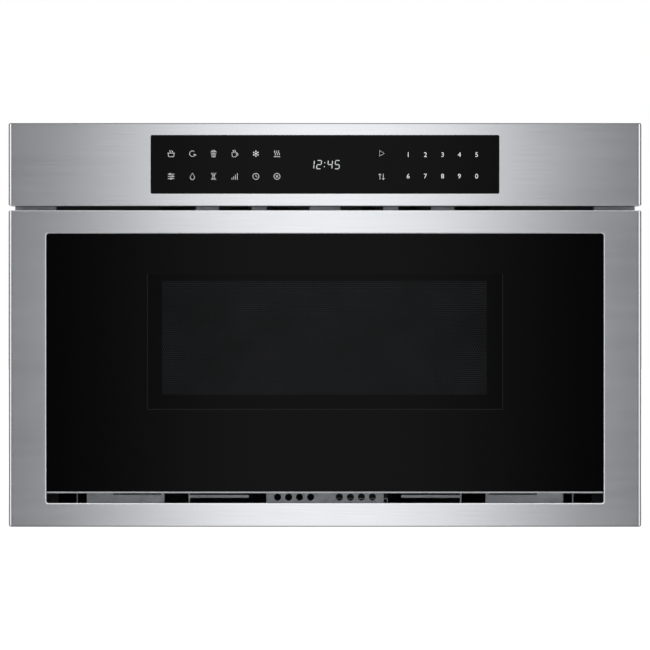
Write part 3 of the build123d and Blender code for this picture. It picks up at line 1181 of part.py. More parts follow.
def fan_frame():
    """Square fan housing with a round duct, a rear spider and the motor's cup."""
    z = centred(FAN_Z, FAN_SIZE)
    frame = block(FAN_X, centred(MAGNETRON_Y, FAN_SIZE), z)
    frame = chamfer(frame.edges().filter_by(Axis.X), FAN_CORNER)
    frame -= hole(FAN_BORE, (FAN_X[0] - THROUGH, *FAN_AXIS), (FAN_X[1] + THROUGH, *FAN_AXIS), DOME_SIDES)
    for turn in range(4):
        strut = block((FAN_X[1] - FAN_STRUT[0], FAN_X[1]), (FAN_MOTOR_RADIUS / 2, FAN_BORE + FAN_WALL / 2),
                      both(FAN_STRUT[1] / 2))
        frame += Pos(0, *FAN_AXIS) * Rot(45 + 90 * turn, 0, 0) * strut
    frame += rod(FAN_MOTOR_RADIUS, (FAN_X[1] - FAN_MOTOR_DEPTH, *FAN_AXIS), (FAN_X[1], *FAN_AXIS), MANY_SIDES)
    frame += block(FAN_X, centred(MAGNETRON_Y, FAN_FOOT), (ROOF, z[0] + THROUGH))
    bore_x = (FAN_X[1] - FAN_MOTOR_DEPTH - THROUGH, FAN_X[1] - FAN_MOTOR_DEPTH + FAN_SHAFT_SUNK + THROUGH)
    return frame - hole(FAN_SHAFT_RADIUS + SHAFT_PLAY, (bore_x[0], *FAN_AXIS), (bore_x[1], *FAN_AXIS))


def fan_rotor():
    """Hub with seven pitched blades on the motor's shaft."""
    motor = FAN_X[1] - FAN_MOTOR_DEPTH
    hub_x = (FAN_X[0] + ROTOR_SETBACK, motor - ROTOR_MOTOR_GAP)
    rotor = rod(ROTOR_HUB_RADIUS, (hub_x[0], 0, 0), (hub_x[1], 0, 0), MANY_SIDES)
    for blade in range(ROTOR_BLADES):
        radial = (ROTOR_HUB_RADIUS - 2 * DUCT_WALL, FAN_BORE - ROTOR_TIP_GAP)
        vane = block(both(ROTOR_BLADE[0] / 2), radial, both(ROTOR_BLADE[1] / 2))
        turn = Rot(360 * blade / ROTOR_BLADES, 0, 0)
        rotor += turn * Pos(sum(hub_x) / 2, 0, 0) * Rot(0, ROTOR_PITCH, 0) * vane
    rotor += rod(FAN_SHAFT_RADIUS, (hub_x[1] - THROUGH, 0, 0), (motor + FAN_SHAFT_SUNK, 0, 0), FEW_SIDES)
    return Pos(0, *FAN_AXIS) * rotor


def fan_duct():
    """Tapered duct that leads the fan's air through the magnetron's fins."""
    mouth_x = YOKE_HALF[0] + DUCT_GAP
    fin_z = GUIDE_TOP + YOKE_HEIGHT / 2

    def taper(inset):
        size = FAN_SIZE - DUCT_INSET - 2 * inset
        mouth_y = centred(MAGNETRON_Y, DUCT_MOUTH[0] - 2 * inset)
        mouth_z = centred(fin_z, DUCT_MOUTH[1] - 2 * inset)
        fan_y, fan_z = centred(MAGNETRON_Y, size), centred(FAN_Z, size)
        plan_view = Polyline((mouth_x, mouth_y[0]), (FAN_X[0], fan_y[0]), (FAN_X[0], fan_y[1]),
                             (mouth_x, mouth_y[1]), close=True)
        front_view = Polyline((mouth_x, mouth_z[0]), (FAN_X[0], fan_z[0]), (FAN_X[0], fan_z[1]),
                              (mouth_x, mouth_z[1]), close=True)
        upward = extrude(Pos(0, 0, fan_z[0]) * make_face(plan_view), size)
        return upward & extrude(along(fan_y) * make_face(front_view), size)

    return taper(0) - taper(DUCT_WALL)


# ---- power supply, behind the slides ----
CORE_SIDE_GAP = 13.5                # to the case's left side
CORE_REAR_GAP = 12.0
CORE_WIDTH = 96.0
CORE_DEPTH = 50.0
CORE_HEIGHT = 82.0
CORE_X = (CORE_SIDE_GAP - CASE_HALF, CORE_SIDE_GAP + CORE_WIDTH - CASE_HALF)
CORE_Y = (REAR_INNER - CORE_REAR_GAP - CORE_DEPTH, REAR_INNER - CORE_REAR_GAP)
CORE_EDGE = 2.0
CORE_FOOT = (8.0, 16.0, 2.0)        # foot's reach past the core, its inset and its sheet
COIL_WIDTH = 62.0
COIL_PROUD = 9.0                    # coil beyond the core, front and rear
COIL_INSET = 14.0                   # coil inside the core, top and bottom
COIL_CORNER = 5.0
COIL_GROOVE = (4.0, 4.0)            # gap between the two coils: height and depth


def hv_transformer():
    """Laminated core with two coils and a foot plate, on the base behind the left slide."""
    z = (BASE_SHEET, BASE_SHEET + CORE_HEIGHT)
    middle = sum(CORE_X) / 2
    core = block(CORE_X, CORE_Y, z)
    core = chamfer(core.edges().filter_by(Axis.Y), CORE_EDGE)
    coil = block(centred(middle, COIL_WIDTH), grown(CORE_Y, COIL_PROUD), grown(z, -COIL_INSET))
    coil = chamfer(coil.edges().filter_by(Axis.Z), COIL_CORNER)
    groove_z = centred(sum(z) / 2, COIL_GROOVE[0])
    groove = block(centred(middle, COIL_WIDTH + 2 * THROUGH), grown(CORE_Y, COIL_PROUD + THROUGH), groove_z)
    groove -= block(centred(middle, COIL_WIDTH - 2 * COIL_GROOVE[1]),
                    grown(CORE_Y, COIL_PROUD - COIL_GROOVE[1]), grown(groove_z, THROUGH))
    groove -= block(grown(CORE_X, THROUGH), CORE_Y, grown(groove_z, THROUGH))
    reach, inset, sheet = CORE_FOOT
    foot = block(grown(CORE_X, reach), grown(CORE_Y, -inset), (z[0], z[0] + sheet))
    return core + coil - groove + foot


CAN_GAP = 30.0                      # can to the transformer's core
CAN_REAR_GAP = 25.0
CAN_WIDTH = 52.0
CAN_DEPTH = 30.0
CAN_HEIGHT = 84.0
CAN_X = CORE_X[1] + CAN_GAP + CAN_WIDTH / 2
CAN_Y = REAR_INNER - CAN_REAR_GAP - CAN_DEPTH / 2
STRAP = 1.0
STRAP_RISE = 30.0
STRAP_HEIGHT = 14.0
STRAP_Z = (BASE_SHEET + STRAP_RISE, BASE_SHEET + STRAP_RISE + STRAP_HEIGHT)
STRAP_LEG = (40.8, 42.0)            # leg's faces right of the can's middle
CAN_TAB = (6.3, 0.8, 10.0)
CAN_TAB_OFFSET = 10.0


def hv_capacitor():
    """Oval can with its two tabs and the strap that holds it to the base."""
    top = BASE_SHEET + CAN_HEIGHT
    for thickness, low, height in ((0, BASE_SHEET, CAN_HEIGHT), (STRAP, STRAP_Z[0], STRAP_HEIGHT)):
        width, depth = CAN_WIDTH + 2 * thickness, CAN_DEPTH + 2 * thickness
        layer = extrude(Pos(CAN_X, CAN_Y, low) * outline(width, depth, depth / 2, flat=True), height)
        can = can + layer if thickness else layer
    for side in (-1, 1):
        tab_x = centred(CAN_X + side * CAN_TAB_OFFSET, CAN_TAB[0])
        can += block(tab_x, centred(CAN_Y, CAN_TAB[1]), (top - THROUGH, top + CAN_TAB[2]))
    leg_x = [CAN_X + reach for reach in STRAP_LEG]
    can += block((CAN_X + CAN_WIDTH / 2, leg_x[1]), centred(CAN_Y, STRAP_LEG[1] - STRAP_LEG[0]), STRAP_Z)
    return can + block(leg_x, centred(CAN_Y, STRAP_HEIGHT), (BASE_SHEET, STRAP_Z[1]))


FILTER_SIDE_GAP = 18.0              # to the cord bushing's axis
FILTER_REAR_GAP = 10.0
FILTER_WIDTH = 82.0
FILTER_DEPTH = 56.0
FILTER_X = (BUSHING_X - FILTER_SIDE_GAP - FILTER_WIDTH, BUSHING_X - FILTER_SIDE_GAP)
FILTER_Y = (REAR_INNER - FILTER_REAR_GAP - FILTER_DEPTH, REAR_INNER - FILTER_REAR_GAP)
FILTER_RISE = 10.0
BOARD_SHEET = 1.6
POST_RADIUS = 2.5
POST_INSET = 5.0
TOROID = (15.0, 7.0, 16.0)          # outer and inner radius, height
TOROID_INSET = 24.0
FILTER_CAN_X = (50.0, 76.0)         # from the board's left edge
FILTER_CANS = [(8.0, 22.0, 17.0), (30.0, 44.0, 13.0)]    # front, rear and height


def filter_board():
    """Mains filter board on four posts, by the cord's bushing."""
    level = BASE_SHEET + FILTER_RISE
    top = level + BOARD_SHEET
    board = block(FILTER_X, FILTER_Y, (level, top))
    for x in grown(FILTER_X, -POST_INSET):
        for y in grown(FILTER_Y, -POST_INSET):
            board += rod(POST_RADIUS, (x, y, BASE_SHEET), (x, y, top - BOARD_SHEET / 2), 6)
    spot = (FILTER_X[0] + TOROID_INSET, FILTER_Y[0] + TOROID_INSET)
    outer, inner, height = TOROID
    ends = ((*spot, top), (*spot, top + height))
    board += rod(outer, *ends, SOME_SIDES) - rod(inner, *ends, SOME_SIDES)
    can_x = [FILTER_X[0] + offset for offset in FILTER_CAN_X]
    for front, rear, height in FILTER_CANS:
        board += block(can_x, (FILTER_Y[0] + front, FILTER_Y[0] + rear), (top - THROUGH, top + height))
    return board


# ---- lamp and sensor on the cavity's walls ----
LAMP_PLATE = (3.0, 52.0, 44.0)      # sheet, width and height
LAMP_PORT = 30.0
LAMP_SHELL = (58.0, 40.0, 36.0)     # depth, width and height
LAMP_SHELL_WALL = 2.0
LAMP_SOCKET_RADIUS = 12.0
LAMP_SOCKET = (34.0, 62.0)          # depths from the wall
BULB_RADIUS = 9.0
BULB_TIP = 12.0
BULB_EDGE = 4.0
SENSOR_PLATE = (2.0, 56.0, 40.0)
SENSOR_RADIUS = 13.0
SENSOR_WALL = 3.0
SENSOR_DEPTH = 16.0
SENSOR_PLUG = (8.0, 14.0, 9.0)


def wall_block(side, depths, middle_y, width, height):
    """A box on a cavity wall: depths are from the wall's outer face, side is 1 or -1."""
    wall = CAVITY_HALF + CAVITY_SHEET
    x = mirrored(wall + depths[0], wall + depths[1], side)
    return block(x, centred(middle_y, width), centred(LAMP_Z, height))


def oven_lamp():
    """Lamp in its holder on the cavity's left wall, behind the light slots."""
    wall = -CAVITY_HALF - CAVITY_SHEET
    axis = (LAMP_Y, LAMP_Z)
    sheet, width, height = LAMP_PLATE
    holder = wall_block(-1, (0, sheet), LAMP_Y, width, height)
    holder -= wall_block(-1, (-THROUGH, sheet + THROUGH), LAMP_Y, LAMP_PORT, LAMP_PORT)
    depth, width, height = LAMP_SHELL
    inset = 2 * LAMP_SHELL_WALL
    holder += wall_block(-1, (0, depth), LAMP_Y, width, height) - wall_block(
        -1, (-THROUGH, depth - LAMP_SHELL_WALL), LAMP_Y, width - inset, height - inset)
    holder += rod(LAMP_SOCKET_RADIUS, (wall - LAMP_SOCKET[1], *axis),
                  (wall - LAMP_SOCKET[0], *axis), SOME_SIDES)
    bulb = rod(BULB_RADIUS, (wall - LAMP_SOCKET[0] - THROUGH, *axis), (wall - BULB_TIP, *axis), SOME_SIDES)
    return holder + chamfer(bulb.edges().group_by(Axis.X)[-1], BULB_EDGE)


def humidity_sensor():
    """Sensor can on the cavity's right wall, over the vapour slots."""
    wall = CAVITY_HALF + CAVITY_SHEET
    axis = (SENSOR_Y, LAMP_Z)
    sheet, width, height = SENSOR_PLATE
    end = wall + SENSOR_DEPTH
    sensor = wall_block(1, (0, sheet), SENSOR_Y, width, height)
    sensor += rod(SENSOR_RADIUS, (wall + sheet / 2, *axis), (end, *axis), SOME_SIDES)
    sensor -= rod(SENSOR_RADIUS - SENSOR_WALL, (wall - THROUGH, *axis), (end - sheet, *axis), SOME_SIDES)
    depth, width, height = SENSOR_PLUG
    return sensor + wall_block(1, (SENSOR_DEPTH - sheet / 2, SENSOR_DEPTH + depth), SENSOR_Y, width, height)


# ---- door interlock ----
SWITCH_GAP = 0.3                    # released plunger to the hook's tip
SWITCH_WALL = 4.0
SWITCH_Y = HOOK_TIP + 4.0
SWITCH_DEPTH = 22.0
SWITCH_HALF = HOOK_THICK / 2 + PASS + SWITCH_WALL
SWITCH_TAB = (3.0, 16.0, 34.0)      # sheet, and its reach from the hook's line
SWITCH_TAB_RADIUS = 3.0
PLUNGER_RADIUS = 1.5
PLUNGER_PLAY = 0.08
PLUNGER_SUNK = 11.0
PLUNGER_TRAVEL = 2.0
PLUNGER_EDGE = 0.4


def interlock_switch():
    """Moulded guide round the hook's path, with the microswitch behind it."""
    x = centred(HOOK_X, 2 * SWITCH_HALF)
    path_height = HOOK_HEIGHT + 4 * PASS
    body = block(x, (0, SWITCH_Y + SWITCH_DEPTH), centred(CAVITY_MID, path_height + 2 * SWITCH_WALL))
    body -= block(grown(x, -SWITCH_WALL), (-THROUGH, SWITCH_Y), centred(CAVITY_MID, path_height))
    sheet, near, far = SWITCH_TAB
    for side in (-1, 1):
        tab = block(x, (0, sheet), sorted((CAVITY_MID + side * near, CAVITY_MID + side * far)))
        body += chamfer(tab.edges().filter_by(Axis.Y), SWITCH_TAB_RADIUS)
    bore_end = SWITCH_Y + PLUNGER_SUNK + PLUNGER_TRAVEL + THROUGH
    return body - hole(PLUNGER_RADIUS + PLUNGER_PLAY, (HOOK_X, SWITCH_Y - THROUGH, CAVITY_MID),
                       (HOOK_X, bore_end, CAVITY_MID))


def switch_plunger():
    start = HOOK_TIP + SWITCH_GAP
    end = SWITCH_Y + PLUNGER_SUNK
    plunger = rod(PLUNGER_RADIUS, (HOOK_X, start, CAVITY_MID), (HOOK_X, end, CAVITY_MID), FEW_SIDES)
    return chamfer(plunger.edges().group_by(Axis.Y)[0], PLUNGER_EDGE)


# ---- control panel ----
CONTROL_WIDTH = 418.0
CONTROL_HEIGHT = 70.2
CONTROL_RADIUS = 2.0
CONTROL_GLASS = 3.0
CONTROL_ARRIS = 0.4
HOUSING_LAP = 16.0                  # housing beyond the glass, left and right
HOUSING_DEPTH = 19.0
HOUSING_WALL = 2.0
HOUSING_RADIUS = 4.0
HOUSING_HALF = CONTROL_WIDTH / 2 + HOUSING_LAP
POST_OFFSET = 5.0                   # board posts from the housing's inner wall
HOUSING_POST_RADIUS = 3.5
HOUSING_POST_COLUMNS = 3
GLASS_BACK = FACE_FRONT + CONTROL_GLASS
DISPLAY_HALF = 26.0
DISPLAY_HEIGHT = 22.0
DISPLAY_GAP = 0.2
DIGIT_PITCH = 11.0
DIGIT_SIZE = (8.5, 14.0)
DIGIT_DEPTH = 0.5
BOARD_Y = GLASS_BACK + 11.0
BOARD_INSET = 5.0
BOARD_MARGIN = 8.0                  # board taller than the glass
BOARD_PART_DEPTH = 5.4
BOARD_PARTS = [(-150.0, 24.0, 18.0), (-100.0, 30.0, 14.0), (20.0, 26.0, 26.0), (90.0, 18.0, 30.0),
               (150.0, 34.0, 12.0)]      # place across, width and height


def control_panel_frame():
    opening_z = centred(PANEL_MID, CONTROL_HEIGHT + FIT)
    return fascia(PANEL_Z, (CONTROL_WIDTH + FIT) / 2, opening_z, CONTROL_RADIUS, 0)


def control_glass():
    z = centred(PANEL_MID, CONTROL_HEIGHT)
    pane = upright(CONTROL_WIDTH / 2, z, (FACE_FRONT, GLASS_BACK), CONTROL_RADIUS)
    return chamfer(pane.edges().group_by(Axis.Y)[0], CONTROL_ARRIS)


def panel_housing():
    """Moulded tray behind the fascia: a recess for the glass, walls and board posts."""
    front = FACE_FRONT + FASCIA_SHEET
    floor = GLASS_BACK + HOUSING_WALL
    z = centred(PANEL_MID, CONTROL_HEIGHT + HOUSING_LAP)
    inner_z = grown(z, -HOUSING_WALL)
    tray = upright(HOUSING_HALF, z, (front, front + HOUSING_DEPTH), HOUSING_RADIUS, flat=True)
    tray -= upright(CONTROL_WIDTH / 2 + FIT, centred(PANEL_MID, CONTROL_HEIGHT + 2 * FIT),
                    (front - THROUGH, GLASS_BACK), CONTROL_RADIUS, flat=True)
    tray -= upright(HOUSING_HALF - HOUSING_WALL, inner_z, (floor, front + HOUSING_DEPTH + THROUGH),
                    HOUSING_RADIUS - HOUSING_WALL, flat=True)
    tray -= block(both(DISPLAY_HALF), (front, floor + THROUGH), centred(PANEL_MID, DISPLAY_HEIGHT))
    pitch = 2 * (HOUSING_HALF - HOUSING_WALL - POST_OFFSET) / (HOUSING_POST_COLUMNS - 1)
    for column in range(HOUSING_POST_COLUMNS):
        x = (column - (HOUSING_POST_COLUMNS - 1) / 2) * pitch * 0.9
        for level in grown(inner_z, -POST_OFFSET):
            ends = ((x, floor - HOUSING_WALL / 2, level), (x, BOARD_Y, level))
            tray += rod(HOUSING_POST_RADIUS, *ends, FEW_SIDES)
    return tray


def display_module():
    """Clock display behind the glass, through the housing's window onto the board."""
    front = GLASS_BACK + DISPLAY_GAP
    z = centred(PANEL_MID, DISPLAY_HEIGHT - 2 * FIT)
    module = upright(DISPLAY_HALF - FIT, z, (front, BOARD_Y))
    for digit in range(4):
        x = centred((digit - 1.5) * DIGIT_PITCH, DIGIT_SIZE[0])
        module -= block(x, (front - THROUGH, front + DIGIT_DEPTH), centred(PANEL_MID, DIGIT_SIZE[1]))
    return module


def control_board():
    """Printed board on the housing's posts, with its larger parts on the back."""
    back = BOARD_Y + BOARD_SHEET
    z = centred(PANEL_MID, CONTROL_HEIGHT + BOARD_MARGIN)
    board = upright(HOUSING_HALF - BOARD_INSET, z, (BOARD_Y, back))
    for x, width, height in BOARD_PARTS:
        board += block(centred(x, width), (back - THROUGH, back + BOARD_PART_DEPTH), centred(PANEL_MID, height))
    return board


TAB_SPANS = [(0.0, 18.9), (70.3, 88.6), (128.0, 156.0)]
TAB_DROP = 12.0                     # tabs' ends below the control panel's fascia
TAB_GAP = 1.3                       # tabs' front ahead of the front plate
TAB_LAP = 6.0
PANEL_BRACKET_INSET = 4.0
PANEL_BRACKET_MARGIN = 1.0
BRACKET_WINDOWS = 7
BRACKET_WINDOW = 70.0
BRACKET_BORDER = 6.0                # window's lower edge above the hem
BRACKET_TOP_BORDER = 8.0
BRACKET_LIP = 8.0


def panel_bracket():
    """Plate the fascia's hems are fixed to; it bolts to the flanges, and tabs hang from it.
    The sheet of each window is folded forward as a stiffening lip."""
    half = FLANGE_OUTER - PANEL_BRACKET_INSET
    y = (FACE_BACK, -FLANGE_SHEET)
    z = grown(PANEL_Z, -PANEL_BRACKET_MARGIN)
    plate = upright(half, z, y)
    window_z = (z[0] + HEM_WIDTH + BRACKET_BORDER, PLATE_TOP - BRACKET_TOP_BORDER)
    pitch = 2 * half / BRACKET_WINDOWS
    for place in range(BRACKET_WINDOWS):
        x = centred((place - (BRACKET_WINDOWS - 1) / 2) * pitch, BRACKET_WINDOW)
        plate -= block(x, grown(y, THROUGH), window_z)
        lips = ((window_z[0] - BRACKET_SHEET, window_z[0]), (window_z[1], window_z[1] + BRACKET_SHEET))
        for lip_z in lips:
            plate += block(x, (y[0] - BRACKET_LIP, y[1]), lip_z)
    tab_y = (PLATE_FRONT - TAB_GAP, PLATE_FRONT)
    for near, far in TAB_SPANS:
        for side in (-1, 1):
            plate += block(mirrored(near, far, side), tab_y, (PANEL_Z[0] - TAB_DROP, z[0] + TAB_LAP))
    return plate


# ---- write every piece: first what rides on the drawer ----
save("drawer_front_frame", drawer_front_frame())
save("drawer_glass", drawer_glass())
save("door_panel", door_panel())
save("screen_pan", screen_pan())
save("inner_window", inner_window())
save("choke_comb", choke_comb())
save("choke_cover", choke_cover())
save("drawer_tub", drawer_tub())
save("ceramic_tray", ceramic_tray())
save_pair("drawer_arm", drawer_arm())
save("rear_cross_bar", rear_cross_bar())
save("drive_rack", drive_rack())
save("latch_hooks", latch_hook(), mirror(latch_hook(), Plane.YZ))
save_pair("slide_inner", slide_inner())

# ---- what moves with it or turns by itself ----
outer_cage = ball_cage(CAGE_OUTER_WEB, OUTER_BALL_DEPTH, OUTER_BALL_Z, CAGE_FRONT_OUTER)
inner_cage = ball_cage(CAGE_INNER_WEB, INNER_BALL_DEPTH, INNER_BALL_Z, CAGE_FRONT_INNER)
save_pair("slide_middle", slide_middle())
save("ball_cages_outer", outer_cage, mirror(outer_cage, Plane.YZ))
save("ball_cages_inner", inner_cage, mirror(inner_cage, Plane.YZ))
save("drive_pinion", drive_pinion())
save("fan_rotor", fan_rotor())
save("stirrer", stirrer())
save_pair("switch_plunger", switch_plunger())

# ---- what stays in the cabinet ----
save("base_plate", base_plate())
save("vent_grille", vent_grille())
save("front_plate", front_plate())
save_pair("mounting_flange", mounting_flange())
save("outer_case", outer_case())
save("rear_plate", rear_plate())
save("chassis_screws", *chassis_screws())
save("cord_bushing", cord_bushing())
save_pair("slide_bracket", slide_bracket())
save_pair("slide_outer", slide_outer())
save("drive_gearmotor", drive_gearmotor())
save("motor_bracket", motor_bracket())
save_pair("interlock_switch", interlock_switch())
save("oven_cavity", oven_cavity())
save("stirrer_cover", stirrer_cover())
save("waveguide", waveguide())
save("magnetron", magnetron())
save("stirrer_motor", stirrer_motor())
save("fan_frame", fan_frame())
save("fan_duct", fan_duct())
save("hv_transformer", hv_transformer())
save("hv_capacitor", hv_capacitor())
save("filter_board", filter_board())
save("oven_lamp", oven_lamp())
save("humidity_sensor", humidity_sensor())
save("control_panel_frame", control_panel_frame())
save("control_glass", control_glass())
save("panel_housing", panel_housing())
save("display_module", display_module())
save("control_board", control_board())
save("panel_bracket", panel_bracket())
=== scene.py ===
import bmesh
import bpy
import math
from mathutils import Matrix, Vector


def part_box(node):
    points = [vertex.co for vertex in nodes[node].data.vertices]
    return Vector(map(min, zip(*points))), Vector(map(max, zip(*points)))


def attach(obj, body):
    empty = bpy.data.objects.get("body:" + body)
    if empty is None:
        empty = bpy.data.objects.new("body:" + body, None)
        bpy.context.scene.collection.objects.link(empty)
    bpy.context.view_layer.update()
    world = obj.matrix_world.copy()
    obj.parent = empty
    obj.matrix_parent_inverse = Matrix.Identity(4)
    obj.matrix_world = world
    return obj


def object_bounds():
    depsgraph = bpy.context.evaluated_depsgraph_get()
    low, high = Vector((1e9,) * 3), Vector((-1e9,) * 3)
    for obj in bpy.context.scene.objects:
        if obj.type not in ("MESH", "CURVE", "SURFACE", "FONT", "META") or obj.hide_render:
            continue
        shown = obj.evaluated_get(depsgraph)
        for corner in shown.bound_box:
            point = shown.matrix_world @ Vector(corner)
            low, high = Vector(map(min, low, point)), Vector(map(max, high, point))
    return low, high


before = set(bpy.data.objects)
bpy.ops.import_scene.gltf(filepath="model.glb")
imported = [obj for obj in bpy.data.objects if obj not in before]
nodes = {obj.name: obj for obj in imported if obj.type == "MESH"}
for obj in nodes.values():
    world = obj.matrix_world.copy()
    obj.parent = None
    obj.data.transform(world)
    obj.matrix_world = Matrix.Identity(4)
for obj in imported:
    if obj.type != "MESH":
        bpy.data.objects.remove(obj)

cad_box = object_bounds()
scene = bpy.context.scene
scene.view_settings.view_transform = "Standard"

# ---- camera ----
# The photograph is taken straight on with a long lens, level with the middle of the face, so
# neither the tops nor the sides of the fascias show.
CAMERA_HEIGHT = 0.22
CAMERA_DISTANCE = 4.0
FACE_PLANE = cad_box[0][1]     # Y of the fascias' front
VIEW_WIDTH = 0.7794            # width of that plane that fills the picture


def aim(thing, place, target):
    """Put a lamp or the camera somewhere and point it at a target."""
    thing.location = place
    thing.rotation_euler = (Vector(target) - Vector(place)).to_track_quat("-Z", "Y").to_euler()
    scene.collection.objects.link(thing)
    return thing


lens = bpy.data.cameras.new("long_lens")
lens.sensor_width = 36
lens.lens = lens.sensor_width * (CAMERA_DISTANCE + FACE_PLANE) / VIEW_WIDTH
lens.clip_end = 50
scene.camera = aim(bpy.data.objects.new("camera", lens), (0, -CAMERA_DISTANCE, CAMERA_HEIGHT),
                   (0, 0, CAMERA_HEIGHT))


# ---- studio: pale floor, pale surroundings, soft lamps ----
# A wide white floor, with softboxes before, over and beside the object. A tall band of light
# behind the camera shows in the brushed steel as one wide glow, and faintly in the glass.
def linear(code):
    """An sRGB hex colour as linear red, green, blue and alpha."""
    shares = [int(code[place:place + 2], 16) / 255 for place in (1, 3, 5)]
    return [share / 12.92 if share <= 0.04045 else ((share + 0.055) / 1.055) ** 2.4
            for share in shares] + [1]


def plug(tree, socket, value):
    """Give a socket a value, or link it from another socket or from a node's first output."""
    if isinstance(value, bpy.types.Node):
        value = value.outputs[0]
    if isinstance(value, bpy.types.NodeSocket):
        tree.links.new(value, socket)
    else:
        socket.default_value = value


def add(tree, kind, *inputs, **settings):
    """Add a node, such as Bevel or Math.ADD. Its inputs come in order, or by name in one dict."""
    kind, _, operation = kind.partition(".")
    node = tree.nodes.new("ShaderNode" + kind)
    if operation:
        node.operation = operation
    for name, value in settings.items():
        setattr(node, name, value)
    named = inputs[0] if inputs and isinstance(inputs[0], dict) else dict(enumerate(inputs))
    for name, value in named.items():
        plug(tree, node.inputs[name], value)
    return node


def spread(tree, value, low, high, start=0.3, end=0.7):
    """Bring a pattern that runs from start to end, as noise does, to a range of values."""
    return add(tree, "MapRange", value, start, end, low, high)


SKY = 0.74                     # strength of the surroundings for diffuse light
SURROUND_DIM = 0.16            # for polished surfaces: behind the camera, and
SURROUND_PALE = 0.76           # to the sides, above and behind the object
PANEL_GAIN = 0.42              # added by the panels beside and over the object
GAP_LOSS = 0.40                # taken away behind them
GLOW = 1.26                    # of the tall band behind the camera
# where these fade in or out, as parts of a direction, of which Y is -1 behind the camera
BAND_X = (0.018, 0.088)        # edge of the tall band
BAND_Y = (-0.4, -0.7)          # and where it comes up
PALE_Y = (-0.97, -0.35)        # from dim to pale
ASIDE = (0.35, 0.5)            # X or Z at which the sides and the top start
PANEL_Y = (-1.0, -0.5)         # start of the panels,
TURN_Y = (0.02, 0.08)          # their end and the start of the gap,
GAP_Y = (0.4, 0.6)             # and the end of the gap

world = bpy.data.worlds.new("studio")
world.use_nodes = True
scene.world = world
tree = world.node_tree
tree.nodes.clear()
rays = add(tree, "LightPath").outputs
way = add(tree, "SeparateXYZ", add(tree, "TexCoord").outputs["Generated"]).outputs
# what polished surfaces see: pale all round, and behind the camera a tall soft band
surround = spread(tree, way["Y"], SURROUND_DIM, SURROUND_PALE, *PALE_Y)
# lit panels beside and over the object, and a dim gap behind them, draw its edges as two lines
aside = add(tree, "Math.MAXIMUM", add(tree, "Math.ABSOLUTE", way["X"]), way["Z"])
aside = spread(tree, aside, 0.0, 1.0, *ASIDE)
for (first, last), gain in (((PANEL_Y, TURN_Y), PANEL_GAIN), ((TURN_Y, GAP_Y), -GAP_LOSS)):
    strip = add(tree, "Math.MULTIPLY", spread(tree, way["Y"], 0.0, 1.0, *first),
                spread(tree, way["Y"], 1.0, 0.0, *last))
    strip = add(tree, "Math.MULTIPLY", add(tree, "Math.MULTIPLY", aside, strip), gain)
    surround = add(tree, "Math.ADD", surround, strip)
glow = add(tree, "MapRange", {"Value": add(tree, "Math.ABSOLUTE", way["X"]), "From Min": BAND_X[0],
                              "From Max": BAND_X[1], "To Min": GLOW, "To Max": 0.0},
           interpolation_type="SMOOTHSTEP")
glow = add(tree, "Math.MULTIPLY", glow, spread(tree, way["Y"], 0.0, 1.0, *BAND_Y))
# a Mix node's two numbers are its inputs 2 and 3, and its two colours, in tint below, 6 and 7
glossy = add(tree, "Mix", {"Factor": rays["Is Glossy Ray"], 2: SKY,
                           3: add(tree, "Math.ADD", surround, glow)}, data_type="FLOAT")
seen = add(tree, "Math.MAXIMUM", rays["Is Camera Ray"], rays["Is Transmission Ray"])
strength = add(tree, "Mix", {"Factor": seen, 2: glossy, 3: 1.0}, data_type="FLOAT")
sky = add(tree, "Background", {"Color": linear("#ffffff"), "Strength": strength})
add(tree, "OutputWorld", {"Surface": sky})


def softbox(name, place, target, size, power, mirrored=True):
    """A rectangular lamp that the camera doesn't see. Polished surfaces see it if it is mirrored."""
    lamp = bpy.data.lights.new(name, "AREA")
    lamp.shape = "RECTANGLE"
    lamp.size, lamp.size_y = size
    lamp.energy = power
    thing = aim(bpy.data.objects.new(name, lamp), place, target)
    thing.visible_camera = False
    thing.visible_glossy = mirrored
    return thing


softbox("tall_softbox", (0, -4.8, 2.0), (0, 0, 0.22), (1.15, 2.8), 30, mirrored=False)
softbox("top_softbox", (0, -0.4, 2.6), (0, 0.2, 0.2), (3.0, 1.8), 16)
softbox("left_softbox", (-2.6, -1.2, 1.4), (0, 0.2, 0.2), (1.4, 1.8), 8)
softbox("right_softbox", (2.6, -1.2, 1.4), (0, 0.2, 0.2), (1.4, 1.8), 8)

FLOOR_LEVEL = cad_box[0][2] - 0.0002
FLOOR_REACH = 14.0
FLOOR_GLOW = 0.62              # lifts the lit floor to white for the camera, and leaves its shadow
corners = [(x * FLOOR_REACH, y * FLOOR_REACH, FLOOR_LEVEL)
           for x, y in ((-1, -1), (1, -1), (1, 1), (-1, 1))]
floor_mesh = bpy.data.meshes.new("floor")
floor_mesh.from_pydata(corners, [], [(0, 1, 2, 3)])
floor = bpy.data.objects.new("floor", floor_mesh)
scene.collection.objects.link(floor)
paper = bpy.data.materials.new("white_paper")
paper.use_nodes = True
tree = paper.node_tree
tree.nodes.clear()
rays = add(tree, "LightPath").outputs
matt = add(tree, "BsdfDiffuse", {"Color": linear("#e9e9e9")})
white = add(tree, "Emission", {"Color": linear("#ffffff"), "Strength": FLOOR_GLOW})
seen = add(tree, "Math.MAXIMUM", rays["Is Camera Ray"], rays["Is Transmission Ray"])
extra = add(tree, "MixShader", seen, add(tree, "Emission", {"Strength": 0.0}), white)
both = add(tree, "AddShader", matt, extra)
# polished surfaces see the pale surroundings where the floor is, as the photographed object does
sheer = add(tree, "MixShader", rays["Is Glossy Ray"], both, add(tree, "BsdfTransparent"))
add(tree, "OutputMaterial", {"Surface": sheer})
floor_mesh.materials.append(paper)


